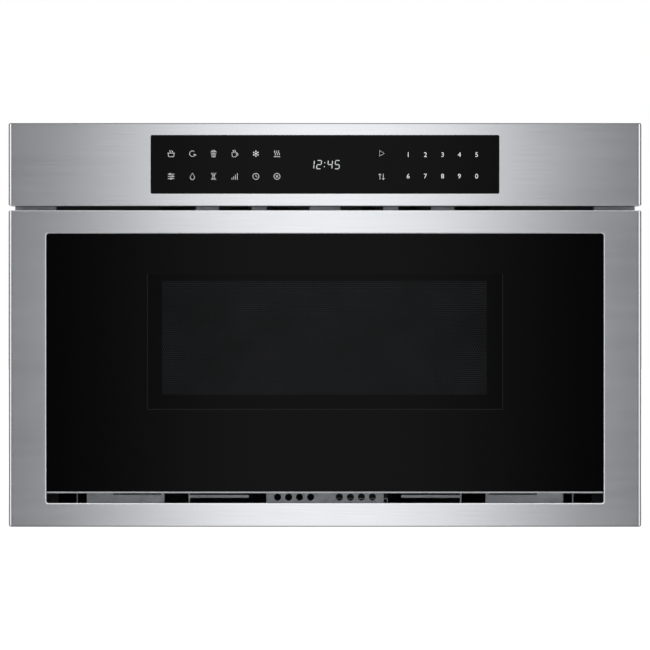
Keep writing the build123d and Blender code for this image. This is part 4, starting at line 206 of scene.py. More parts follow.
# ---- chassis: galvanised sheet steel ----
# The base, flanges, case, rear plate, grille, brackets and waveguide are punched and folded from
# 1.0 to 1.5 mm hot-dip galvanised sheet. Its zinc froze in flat grains, which shine unevenly.
def finish(name, colour, **values):
    """A new material: its tree, its shader, and the place on the piece in metres."""
    material = bpy.data.materials.new(name)
    material.use_nodes = True
    tree = material.node_tree
    tree.nodes.clear()
    shader = add(tree, "BsdfPrincipled", {"Base Color": linear(colour)})
    for socket, value in values.items():
        shader.inputs[socket.replace("_", " ")].default_value = value
    add(tree, "OutputMaterial", {"Surface": shader})
    return material, tree, shader, add(tree, "TexCoord").outputs["Object"]


def link(tree, shader, **sockets):
    """Link sockets of a shader by name."""
    for name, source in sockets.items():
        plug(tree, shader.inputs[name.replace("_", " ")], source)


def dress(material, *names):
    """Give a finish to CAD nodes."""
    for name in names:
        for holder in nodes[name].material_slots:
            holder.material = material


def scaled(tree, place, grain, stretch=(1, 1, 1)):
    """The place counted in grains of so many millimetres, stretched along X, Y and Z."""
    scale = [1000 / (grain * factor) for factor in stretch]
    return add(tree, "VectorMath.MULTIPLY", place, scale)


def noise(tree, place, grain, stretch=(1, 1, 1), detail=3.0):
    """Noise whose features are a grain in millimetres."""
    return add(tree, "TexNoise", {"Vector": scaled(tree, place, grain, stretch), "Scale": 1.0,
                                  "Detail": detail})


def cells(tree, place, grain, stretch=(1, 1, 1)):
    """Flat grains of so many millimetres: for each a direction of its own, and a number."""
    grains = add(tree, "TexVoronoi", {"Vector": scaled(tree, place, grain, stretch), "Scale": 1.0})
    direction = grains.outputs["Color"]
    return direction, add(tree, "SeparateColor", direction)


def tint(tree, factor, first, second):
    """Mix two colours, as hex values or sockets, by a pattern."""
    first, second = (linear(one) if isinstance(one, str) else one for one in (first, second))
    return add(tree, "Mix", {"Factor": factor, 6: first, 7: second}, data_type="RGBA").outputs[2]


def mottle(tree, pattern, first, second):
    """Two colours, mixed by a noise."""
    return tint(tree, spread(tree, pattern, 0, 1), first, second)


def relief(tree, height, millimetres, edge=None):
    """The surface's normal: a pattern of 0 to 1, so many millimetres deep, over rounded edges.
    The edge is a radius in metres, which rounds them for the light alone, or a normal."""
    inputs = {"Height": height, "Distance": millimetres / 1000, "Strength": 1.0}
    if edge is not None:
        inputs["Normal"] = add(tree, "Bevel", edge, samples=4) if isinstance(edge, float) else edge
    return add(tree, "Bump", inputs)


def edges(tree, width):
    """1 along the edges of the piece, for a width in metres, and 0 away from them."""
    flat = add(tree, "NewGeometry").outputs["Normal"]
    cosine = add(tree, "VectorMath.DOT_PRODUCT", add(tree, "Bevel", width, samples=4), flat)
    return spread(tree, cosine.outputs["Value"], 0.0, 1.0, 0.98, 0.86)


SPANGLE = 8.0                  # millimetres across a grain of the zinc
GRAIN_LEAN = 0.14              # how far the grains lean apart
sheet, tree, shader, place = finish("hot_dip_galvanised_sheet", "#b9bdbf", Metallic=1.0,
                                    Roughness=0.36)
direction, number = cells(tree, place, SPANGLE)
grime = noise(tree, place, 120.0, detail=2.0)
fine = noise(tree, place, 1.6)
lean = add(tree, "VectorMath.SUBTRACT", direction, (0.5, 0.5, 0.5))
lean = add(tree, "VectorMath.MULTIPLY_ADD", lean, [GRAIN_LEAN] * 3,
           add(tree, "Bevel", 0.0005, samples=4))
lean = add(tree, "VectorMath.NORMALIZE", lean)
zinc = tint(tree, number, "#b2b6b9", "#c0c4c6")
grimy = tint(tree, spread(tree, grime, 0.0, 0.3, 0.45, 0.75), zinc, "#a2a6a8")
cut = add(tree, "Math.MULTIPLY", edges(tree, 0.0009), 0.8)     # the sheared edges are duller
link(tree, shader,
     Base_Color=tint(tree, cut, grimy, "#5f6265"),
     Roughness=add(tree, "Math.ADD", spread(tree, number, 0.33, 0.4, 0, 1),
                   spread(tree, grime, 0.0, 0.04)),
     Normal=relief(tree, fine, 0.006, lean))
dress(sheet, "base_plate", "mounting_flange_left", "mounting_flange_right", "outer_case", "rear_plate",
      "vent_grille", "slide_bracket_left", "slide_bracket_right", "panel_bracket", "motor_bracket",
      "waveguide")


# ---- screws and small steel parts: bright zinc plating ----
# Pressed and turned steel parts, plated with zinc and passivated, which leaves a blue and straw
# cast on the metal. The case's screws are hex-headed and self-tapping.
plated, tree, shader, place = finish("zinc_plated_steel", "#b7babe", Metallic=1.0, Roughness=0.3)
cast = noise(tree, place, 18.0)
fine = noise(tree, place, 2.0)
link(tree, shader,
     Base_Color=tint(tree, spread(tree, cast, 0, 1, 0.35, 0.65), "#b0b7c0", "#bfbdb2"),
     Roughness=spread(tree, fine, 0.24, 0.36),
     Normal=relief(tree, fine, 0.01, 0.0004))
dress(plated, "chassis_screws")

# small trim on the chassis that the CAD model leaves out: rubber stops on the flanges, which the
# drawer front closes on, foam strips, and pan-head screws that hold the rear plate; the rubber is
# matt and a little dusty
rubber, tree, shader, place = finish("moulded_rubber", "#1b1b1c", Roughness=0.7,
                                     Specular_IOR_Level=0.3)
fine = noise(tree, place, 0.8)
link(tree, shader, Base_Color=mottle(tree, fine, "#171718", "#232324"),
     Roughness=spread(tree, fine, 0.62, 0.78), Normal=relief(tree, fine, 0.02, 0.0003))


def lathed(bm, outline, centre, way, sides=20):
    """Turn an outline of (radius, height) round an axis through the centre along way."""
    frame_to_axis = Vector(way).to_track_quat("Z", "Y").to_matrix().to_4x4()
    frame_to_axis.translation = Vector(centre)
    turns = [2 * math.pi * side / sides for side in range(sides)]
    rings = []
    for radius, height in outline:
        spots = [Vector((radius * math.cos(turn), radius * math.sin(turn), height)) for turn in turns]
        rings.append([bm.verts.new(frame_to_axis @ spot) for spot in spots])
    for low, high in zip(rings, rings[1:]):
        for side in range(sides):
            after = (side + 1) % sides
            bm.faces.new((low[side], low[after], high[after], high[side]))
    bm.faces.new(list(reversed(rings[0])))
    bm.faces.new(rings[-1])


def piece(name, bm, material, body, smooth=0.6):
    """Put a mesh in the scene, riding on a body; faces meeting below an angle are smooth."""
    mesh = bpy.data.meshes.new(name)
    bm.to_mesh(mesh)
    bm.free()
    thing = bpy.data.objects.new(name, mesh)
    scene.collection.objects.link(thing)
    mesh.materials.append(material)
    if smooth:
        mesh.shade_smooth()
        mesh.set_sharp_from_angle(angle=smooth)
    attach(thing, body)
    return thing


STOP_RADIUS = 0.0045
STOP_RISE = 0.0013
STOP_X = 0.3665
STOP_Z = (0.034, 0.318)
FLANGE_FACE = -0.0015
stop = [(STOP_RADIUS, -0.0004), (STOP_RADIUS, STOP_RISE * 0.6), (STOP_RADIUS * 0.8, STOP_RISE),
        (0.0004, STOP_RISE)]
bm = bmesh.new()
for x in (-STOP_X, STOP_X):
    for z in STOP_Z:
        lathed(bm, stop, (x, FLANGE_FACE, z), (0, -1, 0))
piece("rubber_stops", bm, rubber, "chassis")

# strips of black foam on the flanges close the ends of the air slot behind the drawer front
FOAM_X = (0.3222, 0.3360)
FOAM_Z = (0.0042, 0.0260)
FOAM_RISE = 0.0012
bm = bmesh.new()
for side in (-1, 1):
    block = bmesh.ops.create_cube(bm, size=1.0)["verts"]
    for vert in block:
        vert.co = (side * sum(FOAM_X) / 2 + vert.co.x * (FOAM_X[1] - FOAM_X[0]),
                   FLANGE_FACE - FOAM_RISE / 2 + vert.co.y * FOAM_RISE,
                   sum(FOAM_Z) / 2 + vert.co.z * (FOAM_Z[1] - FOAM_Z[0]))
face_edges = [edge for edge in bm.edges if edge.calc_length() > FOAM_RISE * 1.5]
bmesh.ops.bevel(bm, geom=face_edges, offset=FOAM_RISE / 3, segments=2, affect="EDGES")
piece("foam_seals", bm, rubber, "chassis")

SCREW_RADIUS = 0.0042
SCREW_RISE = 0.0024
SCREW_SIDES = 18
SCREW_SPOTS = [(x, z) for x in (-0.3, -0.1, 0.1, 0.3) for z in (0.0085, 0.4195)]
REAR_FACE = 0.5572             # of the rear plate
screw = [(SCREW_RADIUS, -0.0002), (SCREW_RADIUS, SCREW_RISE * 0.3),
         (SCREW_RADIUS * 0.86, SCREW_RISE * 0.75), (SCREW_RADIUS * 0.55, SCREW_RISE),
         (SCREW_RADIUS * 0.42, SCREW_RISE * 0.5), (0.0003, SCREW_RISE * 0.5)]
bm = bmesh.new()
for x, z in SCREW_SPOTS:
    lathed(bm, screw, (x, REAR_FACE, z), (0, 1, 0), SCREW_SIDES)
piece("rear_screws", bm, plated, "chassis")


# ---- front plate: powder-coated steel ----
# The plate behind the drawer front closes the cabinet's opening round the cavity's mouth. It is
# steel sheet with a baked black powder coat, which has a fine orange peel and dulls at edges.
coat, tree, shader, place = finish("powder_coated_steel", "#121314", Roughness=0.46,
                                   Specular_IOR_Level=0.45)
peel = noise(tree, place, 1.5, detail=2.0)
rubbed = noise(tree, place, 40.0)
edge = add(tree, "Math.MULTIPLY", edges(tree, 0.0006), spread(tree, noise(tree, place, 5.0), 0.1, 0.9))
link(tree, shader,
     Base_Color=tint(tree, edge, mottle(tree, rubbed, "#101112", "#17181a"), "#3a3b3d"),
     Roughness=spread(tree, rubbed, 0.42, 0.54),
     Normal=relief(tree, peel, 0.05, 0.0004))
dress(coat, "front_plate", "door_panel")


# ---- oven cavity: enamelled steel ----
# A welded box of 1 mm steel sheet, fired with grey porcelain enamel inside and out. The glaze is
# glossy and slightly wavy, with dark and light specks in it.
def specks(tree, place, pitch, size, share):
    """1 in round specks, one in a share of the cells of a pitch in millimetres."""
    spots = add(tree, "TexVoronoi", {"Vector": scaled(tree, place, pitch), "Scale": 1.0}).outputs
    dot = spread(tree, spots["Distance"], 1.0, 0.0, size * 0.8, size)
    number = add(tree, "SeparateColor", spots["Color"])
    return add(tree, "Math.MULTIPLY", dot, add(tree, "Math.LESS_THAN", number, share))


enamel, tree, shader, place = finish("fired_grey_enamel", "#8b8f93", Roughness=0.16, IOR=1.52)
dark = specks(tree, place, 3.2, 0.24, 0.55)
pale = specks(tree, place, 4.1, 0.2, 0.35)
cloud = noise(tree, place, 60.0)
wave = noise(tree, place, 12.0, detail=1.0)
ground = mottle(tree, cloud, "#868a8e", "#92969a")
link(tree, shader,
     Base_Color=tint(tree, dark, tint(tree, pale, ground, "#b9bcbf"), "#55595d"),
     Roughness=spread(tree, cloud, 0.12, 0.22),
     Normal=relief(tree, wave, 0.08, 0.0006))
dress(enamel, "oven_cavity")


# ---- stirrer cover: mica ----
# A punched plate of pressed mica keeps spatter out of the waveguide's mouth. Its flakes lie flat
# and give a silky, mottled look.
mica, tree, shader, place = finish("pressed_mica", "#a89f88", Roughness=0.4, IOR=1.58)
flake = cells(tree, place, 4.5, (1.6, 1, 1))[1]
chip = add(tree, "Math.MULTIPLY", cells(tree, place, 1.5)[1], 0.4)
link(tree, shader,
     Base_Color=tint(tree, chip, tint(tree, flake, "#9c927a", "#b7ad95"), "#8a8069"),
     Roughness=spread(tree, flake, 0.3, 0.52, 0, 1),
     Normal=relief(tree, flake, 0.03, 0.0003))
dress(mica, "stirrer_cover")


# ---- stirrer: rolled aluminium ----
# A fan of bent aluminium blades on a plastic shaft, which turns in the roof of the cavity. The
# sheet keeps the faint straight marks of the rolling mill.
aluminium, tree, shader, place = finish("rolled_aluminium", "#cbcdcf", Metallic=1.0, Roughness=0.33,
                                        Anisotropic=0.4)
marks = noise(tree, place, 1.0, (60, 1, 1), 4.0)
cloud = noise(tree, place, 35.0)
link(tree, shader,
     Base_Color=mottle(tree, marks, "#c3c5c7", "#d1d3d4"),
     Roughness=add(tree, "Math.ADD", spread(tree, marks, 0.28, 0.36), spread(tree, cloud, 0.0, 0.06)),
     Normal=relief(tree, marks, 0.01, 0.0003))
dress(aluminium, "stirrer")
dress(plated, "stirrer_motor")


# ---- magnetron: aluminium fins in a steel yoke ----
# Thin aluminium fins round the copper anode are held in a folded steel yoke, under the steel box
# of the filter. The antenna below them stands in white ceramic.
YOKE_BOTTOM = 0.3455
YOKE_INSIDE = (0.3471, 0.3939)         # between its plates, where the anode stands
ANODE_RADIUS = 0.0206                  # like other radii below, a little more than the piece's own


def middle(node):
    """The middle of a CAD node's box."""
    low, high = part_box(node)
    return (low + high) / 2


def between(tree, value, low, high):
    """1 where a value lies between two others, 0 elsewhere."""
    return add(tree, "Math.MULTIPLY", add(tree, "Math.GREATER_THAN", value, low),
               add(tree, "Math.LESS_THAN", value, high))


def near(tree, place, centre, radius, axes=(1, 1, 0)):
    """1 within a radius in metres of the centre, measured along some axes, and 0 outside it."""
    away = add(tree, "VectorMath.SUBTRACT", place, centre)
    away = add(tree, "VectorMath.MULTIPLY", away, axes)
    length = add(tree, "VectorMath.LENGTH", away).outputs["Value"]
    return spread(tree, length, 1.0, 0.0, radius, radius + 0.0002)


tube, tree, shader, place = finish("magnetron_metals", "#c8cacc", Metallic=1.0, Roughness=0.3)
parts = add(tree, "SeparateXYZ", place).outputs
marks = noise(tree, place, 1.2, (50, 1, 1), 3.0)
anode = add(tree, "Math.MULTIPLY", near(tree, place, middle("magnetron"), ANODE_RADIUS),
            between(tree, parts["Z"], *YOKE_INSIDE))
ceramic = add(tree, "Math.LESS_THAN", parts["Z"], YOKE_BOTTOM)
metal = tint(tree, anode, mottle(tree, marks, "#bcbfc1", "#cfd1d2"), "#b56f4f")
link(tree, shader,
     Base_Color=tint(tree, ceramic, metal, "#e3dfd6"),
     Metallic=add(tree, "Math.SUBTRACT", 1.0, ceramic),
     Roughness=spread(tree, marks, 0.26, 0.38),
     Normal=relief(tree, marks, 0.01, 0.0003))
dress(tube, "magnetron")


# ---- oven lamp and humidity sensor: on the cavity's walls ----
# The lamp is a small frosted bulb in a white ceramic socket, under a zinc-plated steel shell.
# The sensor is a zinc-plated can with a white nylon plug.
SOCKET_RADIUS = 0.0122
SOCKET_FACE = -0.2601                  # X at which the bulb leaves the socket
SHELL_INSIDE = (-0.2849, -0.2375)      # of the lamp's shell, along X
PLUG_FACE = 0.24105                    # X at which the sensor's plug leaves the can
lamp, tree, shader, place = finish("lamp_in_plated_holder", "#b7babe", Metallic=1.0, Roughness=0.3)
parts = add(tree, "SeparateXYZ", place).outputs
inside = add(tree, "Math.MULTIPLY", near(tree, place, middle("oven_lamp"), SOCKET_RADIUS, (0, 1, 1)),
             between(tree, parts["X"], *SHELL_INSIDE))
bulb = add(tree, "Math.GREATER_THAN", parts["X"], SOCKET_FACE)
cast = noise(tree, place, 14.0)
link(tree, shader,
     Base_Color=tint(tree, inside, mottle(tree, cast, "#b0b7c0", "#bfbdb2"),
                     tint(tree, bulb, "#dedad0", "#f0ebdf")),
     Metallic=add(tree, "Math.SUBTRACT", 1.0, inside),
     Roughness=spread(tree, cast, 0.25, 0.36),
     Normal=relief(tree, noise(tree, place, 2.0), 0.01, 0.0003))
dress(lamp, "oven_lamp")

sensor, tree, shader, place = finish("sensor_can_and_plug", "#b7babe", Metallic=1.0, Roughness=0.3)
parts = add(tree, "SeparateXYZ", place).outputs
in_plug = add(tree, "Math.GREATER_THAN", parts["X"], PLUG_FACE)
cast = noise(tree, place, 14.0)
link(tree, shader,
     Base_Color=tint(tree, in_plug, mottle(tree, cast, "#b0b7c0", "#bfbdb2"), "#e2dfd5"),
     Metallic=add(tree, "Math.SUBTRACT", 1.0, in_plug),
     Roughness=spread(tree, cast, 0.25, 0.38),
     Normal=relief(tree, noise(tree, place, 2.0), 0.01, 0.0003))
dress(sensor, "humidity_sensor")


# ---- cooling fan: moulded black polyester ----
# The frame and the seven-bladed rotor are moulded in glass-filled PBT, a matt plastic with a fine
# spark-eroded grain and faint flow lines. The same goes for other dark mouldings.
moulded, tree, shader, place = finish("moulded_black_pbt", "#161718", Roughness=0.5, IOR=1.5)
grain = noise(tree, place, 0.9, detail=2.0)
flow = noise(tree, place, 30.0, (1, 1, 2.5))
# the edges are painted lighter: a painted sheen along them, where they are also a little rubbed
link(tree, shader,
     Base_Color=tint(tree, edges(tree, 0.0005), mottle(tree, flow, "#141516", "#1b1c1d"), "#2a2b2c"),
     Roughness=spread(tree, flow, 0.44, 0.56),
     Normal=relief(tree, grain, 0.03, 0.0004))
dress(moulded, "fan_frame", "fan_rotor", "cord_bushing")


# ---- air duct and drawer tub: moulded grey polypropylene ----
# The duct from the fan to the magnetron and the drawer's tub are injection moulded. The plastic
# is slightly waxy, with a fine texture from the mould and soft scuffs on the tub.
grey, tree, shader, place = finish("moulded_grey_polypropylene", "#a2a5a7", Roughness=0.42, IOR=1.49)
grain = noise(tree, place, 0.8, detail=2.0)
scuffs = noise(tree, place, 3.0, (1, 14, 1), 4.0)
cloud = noise(tree, place, 70.0)
link(tree, shader,
     Base_Color=tint(tree, spread(tree, scuffs, 0.0, 0.5, 0.55, 0.75),
                     mottle(tree, cloud, "#9ea1a3", "#a8abad"), "#b6b8ba"),
     Roughness=add(tree, "Math.ADD", spread(tree, cloud, 0.36, 0.44),
                   spread(tree, scuffs, 0.0, 0.08, 0.5, 0.75)),
     Normal=relief(tree, grain, 0.03, 0.0006))
dress(grey, "fan_duct", "drawer_tub")


# ---- power supply: transformer, capacitor and filter board ----
# The transformer's core is a stack of varnished steel laminations 0.5 mm thick, welded together
# on a plated foot. Its two coils are enamelled copper wire, the upper one wrapped in amber tape.
CORE_HALF_DEPTH = 0.0251
COIL_HALF_WIDTH = 0.0312
FOOT_TOP = 0.0033
LAMINATION = 1.3                       # millimetres, drawn from 0.5 mm so that it shows
WIRE = 1.1                             # millimetres


def ridges(tree, value, pitch):
    """A pattern that rises from 0 to 1 and falls again over each pitch of a value."""
    return spread(tree, add(tree, "Math.PINGPONG", value, pitch / 2), 0.0, 1.0, 0.0, pitch / 2)


core, tree, shader, place = finish("laminated_core_and_coils", "#4d4a49", Metallic=0.6,
                                   Roughness=0.42)
parts = add(tree, "SeparateXYZ", place).outputs
core_middle = middle("hv_transformer")
away = add(tree, "Math.ABSOLUTE", add(tree, "Math.SUBTRACT", parts["Y"], core_middle.y))
aside = add(tree, "Math.ABSOLUTE", add(tree, "Math.SUBTRACT", parts["X"], core_middle.x))
coil = add(tree, "Math.MULTIPLY", add(tree, "Math.GREATER_THAN", away, CORE_HALF_DEPTH),
           add(tree, "Math.LESS_THAN", aside, COIL_HALF_WIDTH))
foot = add(tree, "Math.LESS_THAN", parts["Z"], FOOT_TOP)
sheets = ridges(tree, parts["Y"], LAMINATION / 1000)
turns = ridges(tree, parts["Z"], WIRE / 1000)
tape = add(tree, "Math.GREATER_THAN", parts["Z"], core_middle.z)
cloud = noise(tree, place, 10.0)
stack = tint(tree, sheets, "#3a3837", mottle(tree, cloud, "#55524f", "#686460"))
copper = tint(tree, turns, "#5f3218", mottle(tree, cloud, "#a8622f", "#bd7740"))
wound = tint(tree, tape, copper, mottle(tree, cloud, "#b58a3c", "#c49a4c"))
height = add(tree, "Math.ADD", add(tree, "Math.MULTIPLY", coil, turns),
             add(tree, "Math.MULTIPLY", add(tree, "Math.SUBTRACT", 1.0, coil), sheets))
link(tree, shader,
     Base_Color=tint(tree, foot, tint(tree, coil, stack, wound), "#b3b7bb"),
     Metallic=add(tree, "Math.MAXIMUM", foot, spread(tree, coil, 0.7, 0.15, 0, 1)),
     Roughness=spread(tree, cloud, 0.34, 0.46),
     Normal=relief(tree, height, 0.12, 0.0005))
dress(core, "hv_transformer")

# the capacitor is a drawn aluminium can; its sides show the marks of drawing, up and down
can, tree, shader, place = finish("drawn_aluminium_can", "#c6c9cb", Metallic=1.0, Roughness=0.3,
                                  Anisotropic=0.3)
marks = noise(tree, place, 0.9, (1, 1, 40), 3.0)
link(tree, shader,
     Base_Color=mottle(tree, marks, "#bdc0c2", "#cdcfd1"),
     Roughness=spread(tree, marks, 0.26, 0.36),
     Normal=relief(tree, marks, 0.01, 0.0005))
dress(can, "hv_capacitor")

# the filter board: green solder mask over tracks, a copper-wound ring, and an amber and a dark
# film capacitor
BOARD_LEVEL = (0.0111, 0.01285)        # heights of its underside and its top
RING = (0.174, 0.5142, 0.0)            # middle of the ring
RING_RADIUS = 0.0153
RING_TURNS = 34
CAN_GAP = 0.5173                       # between the two capacitors, along Y
board, tree, shader, place = finish("filter_board_and_parts", "#2c6a47", Roughness=0.35)
parts = add(tree, "SeparateXYZ", place).outputs
above = add(tree, "Math.GREATER_THAN", parts["Z"], BOARD_LEVEL[1])
below = add(tree, "Math.LESS_THAN", parts["Z"], BOARD_LEVEL[0])
ring = near(tree, place, RING, RING_RADIUS)
heading = add(tree, "Math.ARCTAN2", add(tree, "Math.SUBTRACT", parts["Y"], RING[1]),
              add(tree, "Math.SUBTRACT", parts["X"], RING[0]))
turns = ridges(tree, heading, 2 * math.pi / RING_TURNS)
second = add(tree, "Math.GREATER_THAN", parts["Y"], CAN_GAP)
tracks = noise(tree, place, 6.0, (4, 0.5, 1), 0.0)
mask = tint(tree, spread(tree, tracks, 0, 1, 0.47, 0.5), "#2a6243", "#347551")
wire = tint(tree, turns, "#5a2f18", "#b87642")
boxes = tint(tree, second, "#c9a53c", "#3a3f46")
raised = add(tree, "Math.MULTIPLY", turns, add(tree, "Math.MULTIPLY", ring, above))
link(tree, shader,
     Base_Color=tint(tree, below, tint(tree, above, mask, tint(tree, ring, boxes, wire)), "#c9c7bd"),
     Roughness=spread(tree, noise(tree, place, 8.0), 0.3, 0.42),
     Normal=relief(tree, raised, 0.3, 0.0003))
dress(board, "filter_board")


# ---- slides: plated steel members and their ball cages ----
# Each slide has three rolled steel members, zinc plated, with drawn lines along their length, as
# have the drawer's arms and rear bar. The balls run in pressed, greased cages, and shine more.
rolled, tree, shader, place = finish("zinc_plated_rolled_steel", "#b5b9bd", Metallic=1.0, Roughness=0.3)
lines = noise(tree, place, 0.8, (1, 80, 1), 3.0)
cast = noise(tree, place, 25.0, (1, 3, 1))
link(tree, shader,
     Base_Color=tint(tree, spread(tree, cast, 0, 1, 0.35, 0.65), "#aeb5bd", "#bebcb3"),
     Roughness=spread(tree, lines, 0.22, 0.36),
     Normal=relief(tree, lines, 0.015, 0.0003))
dress(rolled, "slide_outer_left", "slide_outer_right", "slide_middle_left", "slide_middle_right",
      "slide_inner_left", "slide_inner_right", "drawer_arm_left", "drawer_arm_right", "rear_cross_bar")

cage, tree, shader, place = finish("greased_bearing_steel", "#c2c4c6", Metallic=1.0, Roughness=0.2)
film = noise(tree, place, 5.0)
link(tree, shader,
     Base_Color=mottle(tree, film, "#b3afa2", "#cbccce"),
     Roughness=spread(tree, film, 0.14, 0.3),
     Normal=relief(tree, film, 0.01, 0.0003))
dress(cage, "ball_cages_outer", "ball_cages_inner")


# ---- drive: gearmotor, pinion and rack ----
# A motor with a moulded gearbox turns the pinion, which runs in the rack under the drawer. The
# pinion and rack are natural acetal, a milky plastic with a soft shine, lightly greased.
dress(moulded, "drive_gearmotor")
acetal, tree, shader, place = finish("moulded_natural_acetal", "#e4e2da", Roughness=0.36, IOR=1.48)
cloud = noise(tree, place, 9.0)
grease = noise(tree, place, 4.0, detail=2.0)
link(tree, shader,
     Base_Color=tint(tree, spread(tree, grease, 0.0, 0.6, 0.5, 0.72),
                     mottle(tree, cloud, "#dfddd4", "#e9e7e0"), "#cfcab9"),
     Roughness=spread(tree, grease, 0.42, 0.26, 0.4, 0.65),
     Normal=relief(tree, cloud, 0.03, 0.0004))
dress(acetal, "drive_pinion", "drive_rack")


# ---- interlock switches: black guides, white plungers and hooks ----
# Two latch hooks on the drawer front enter moulded guides on the front plate, and press the
# plungers of the switches behind them. The hooks and plungers are acetal too.
dress(moulded, "interlock_switch_left", "interlock_switch_right")
dress(acetal, "latch_hooks", "switch_plunger_left", "switch_plunger_right")


# ---- drawer tray: white glass-ceramic ----
# A flat plate of opal glass-ceramic with a shallow dish lies in the tub. It is fire-polished,
# and has faint specks and hairline scratches.
opal, tree, shader, place = finish("opal_glass_ceramic", "#eeece8", Roughness=0.1, IOR=1.53)
dots = specks(tree, place, 6.0, 0.09, 0.5)
lines = noise(tree, place, 1.2, (30, 1, 1), 4.0)
cloud = noise(tree, place, 80.0)
link(tree, shader,
     Base_Color=tint(tree, dots, mottle(tree, cloud, "#ebe9e4", "#f1f0ec"), "#c8c4ba"),
     Roughness=add(tree, "Math.ADD", spread(tree, cloud, 0.08, 0.14),
                   spread(tree, lines, 0.0, 0.1, 0.6, 0.75)),
     Normal=relief(tree, noise(tree, place, 25.0, detail=1.0), 0.04, 0.0008))
dress(opal, "ceramic_tray")


# ---- door: choke comb, its cover and the inner window ----
# Behind the drawer's panel a slotted comb of plated steel stops the microwaves, under a black
# moulded cover. A clear sheet of polycarbonate, with faint wiping marks, closes the window
# towards the food.
dress(plated, "choke_comb")
dress(moulded, "choke_cover")

clear, tree, shader, place = finish("clear_polycarbonate_sheet", "#f3f5f5", Roughness=0.06, IOR=1.58,
                                    Transmission_Weight=1.0)
wipes = noise(tree, place, 1.5, (24, 1, 1), 4.0)
link(tree, shader,
     Base_Color=mottle(tree, noise(tree, place, 40.0), "#eef1f1", "#f8f9f9"),
     Roughness=spread(tree, wipes, 0.03, 0.14, 0.45, 0.75),
     Normal=relief(tree, noise(tree, place, 30.0), 0.01))
dress(clear, "inner_window")


# ---- door screen: perforated steel pan ----
# The pan behind the window is pressed from steel sheet, with rows of small holes that let light
# through and keep the microwaves in. Its black powder coat is matt. The holes are not cut: they are
# painted near-black, as painted shade for the dark seen through them, and pressed in by the relief.
WINDOW_X = (-0.2126, 0.2129)
WINDOW_Z = (0.1191, 0.2817)
MESH_X = (-0.1956, 0.1941)
MESH_Z = (0.1366, 0.2726)
HOLE_PITCH = 2.9               # millimetres; drawn from 2.0 so that the holes show
HOLE_RADIUS = 1.28
HOLE_RIM = 0.12                # half the width over which a hole's edge fades


def within(tree, place, x, z, soft=0.0004):
    """1 inside a rectangle of X and Z, 0 outside it."""
    parts = add(tree, "SeparateXYZ", place).outputs
    sides = []
    for value, (low, high) in ((parts["X"], x), (parts["Z"], z)):
        half = (high - low) / 2
        away = add(tree, "Math.ABSOLUTE", add(tree, "Math.SUBTRACT", value, (low + high) / 2))
        sides.append(spread(tree, away, 1.0, 0.0, half - soft, half + soft))
    return add(tree, "Math.MULTIPLY", *sides)


def perforated(tree, place):
    """1 in the round holes of a staggered pattern in X and Z, 0 between them."""
    wide, high = HOLE_PITCH / 1000, HOLE_PITCH * math.sqrt(3) / 1000
    distances = []
    for shift in (0.0, 0.5):
        spot = place
        for operation, values in (("MULTIPLY", (1 / wide, 1, 1 / high)), ("ADD", (shift, 0, shift)),
                                  ("FRACTION", (0, 0, 0)), ("SUBTRACT", (0.5, 0, 0.5)),
                                  ("MULTIPLY", (wide, 0, high))):
            spot = add(tree, "VectorMath." + operation, spot, values)
        distances.append(add(tree, "VectorMath.LENGTH", spot).outputs["Value"])
    nearest = add(tree, "Math.MINIMUM", *distances)
    return spread(tree, nearest, 0.0, 1.0, (HOLE_RADIUS + HOLE_RIM) / 1000,
                  (HOLE_RADIUS - HOLE_RIM) / 1000)


screen, tree, shader, place = finish("perforated_coated_steel", "#141516", Roughness=0.46)
holes = add(tree, "Math.MULTIPLY", within(tree, place, MESH_X, MESH_Z), perforated(tree, place))
webs = mottle(tree, noise(tree, place, 40.0), "#191a1c", "#222325")
peel = add(tree, "Math.MULTIPLY", noise(tree, place, 1.5, detail=2.0), 0.15)
height = add(tree, "Math.ADD", add(tree, "Math.SUBTRACT", 1.0, holes), peel)
# painted shade: the holes get a near-black colour for the dark behind them
link(tree, shader,
     Base_Color=tint(tree, holes, webs, "#020202"),
     Roughness=spread(tree, holes, 0.46, 0.9, 0, 1),
     Normal=relief(tree, height, 0.3, 0.0004))
dress(screen, "screen_pan")


# ---- drawer glass: black-printed float glass with a window ----
# A 4 mm pane, printed black on its back except for the window. The pane is opaque: the perforated
# screen of the door behind the window is painted into its colour, its faintly lit webs as painted
# light and its holes as painted shade. The print gives it an even, deep black, with a line round the
# window.
PANE_LINE = 0.0009             # width of that line
glass, tree, shader, place = finish("black_printed_glass", "#070708", Roughness=0.06, IOR=1.5,
                                    Specular_IOR_Level=0.06)
pane = within(tree, place, WINDOW_X, WINDOW_Z)
shown = within(tree, place, MESH_X, MESH_Z, 0.0008)
lined = within(tree, place, (WINDOW_X[0] - PANE_LINE, WINDOW_X[1] + PANE_LINE),
               (WINDOW_Z[0] - PANE_LINE, WINDOW_Z[1]), 0.0001)
# painted light and shade: the screen as seen faintly through the window, lit webs and dark holes
webs = mottle(tree, noise(tree, place, 45.0, detail=2.0), "#1b1d1f", "#25272a")
back = tint(tree, pane, tint(tree, lined, "#040405", "#1b1c1e"), "#010101")
link(tree, shader,
     Base_Color=tint(tree, shown, back, tint(tree, perforated(tree, place), webs, "#010101")))
dress(glass, "drawer_glass")

# an angle of satin steel, bonded under the pane's lower edge, catches the light as a thin line
STRIP_HALF = 0.334
STRIP_OUTLINE = [(-0.0270, 0.0194), (-0.0270, 0.0185), (-0.0267, 0.0181), (-0.0222, 0.0181),
                 (-0.0222, 0.0235), (-0.0230, 0.0235), (-0.0230, 0.0200), (-0.0263, 0.0200),
                 (-0.0263, 0.0194)]     # as Y and Z


def solid(bm, first, last):
    """Close two outlines of as many points into a solid."""
    count = len(first)
    bm.faces.new(first)
    bm.faces.new(list(reversed(last)))
    for index in range(count):
        after = (index + 1) % count
        bm.faces.new((first[after], first[index], last[index], last[after]))


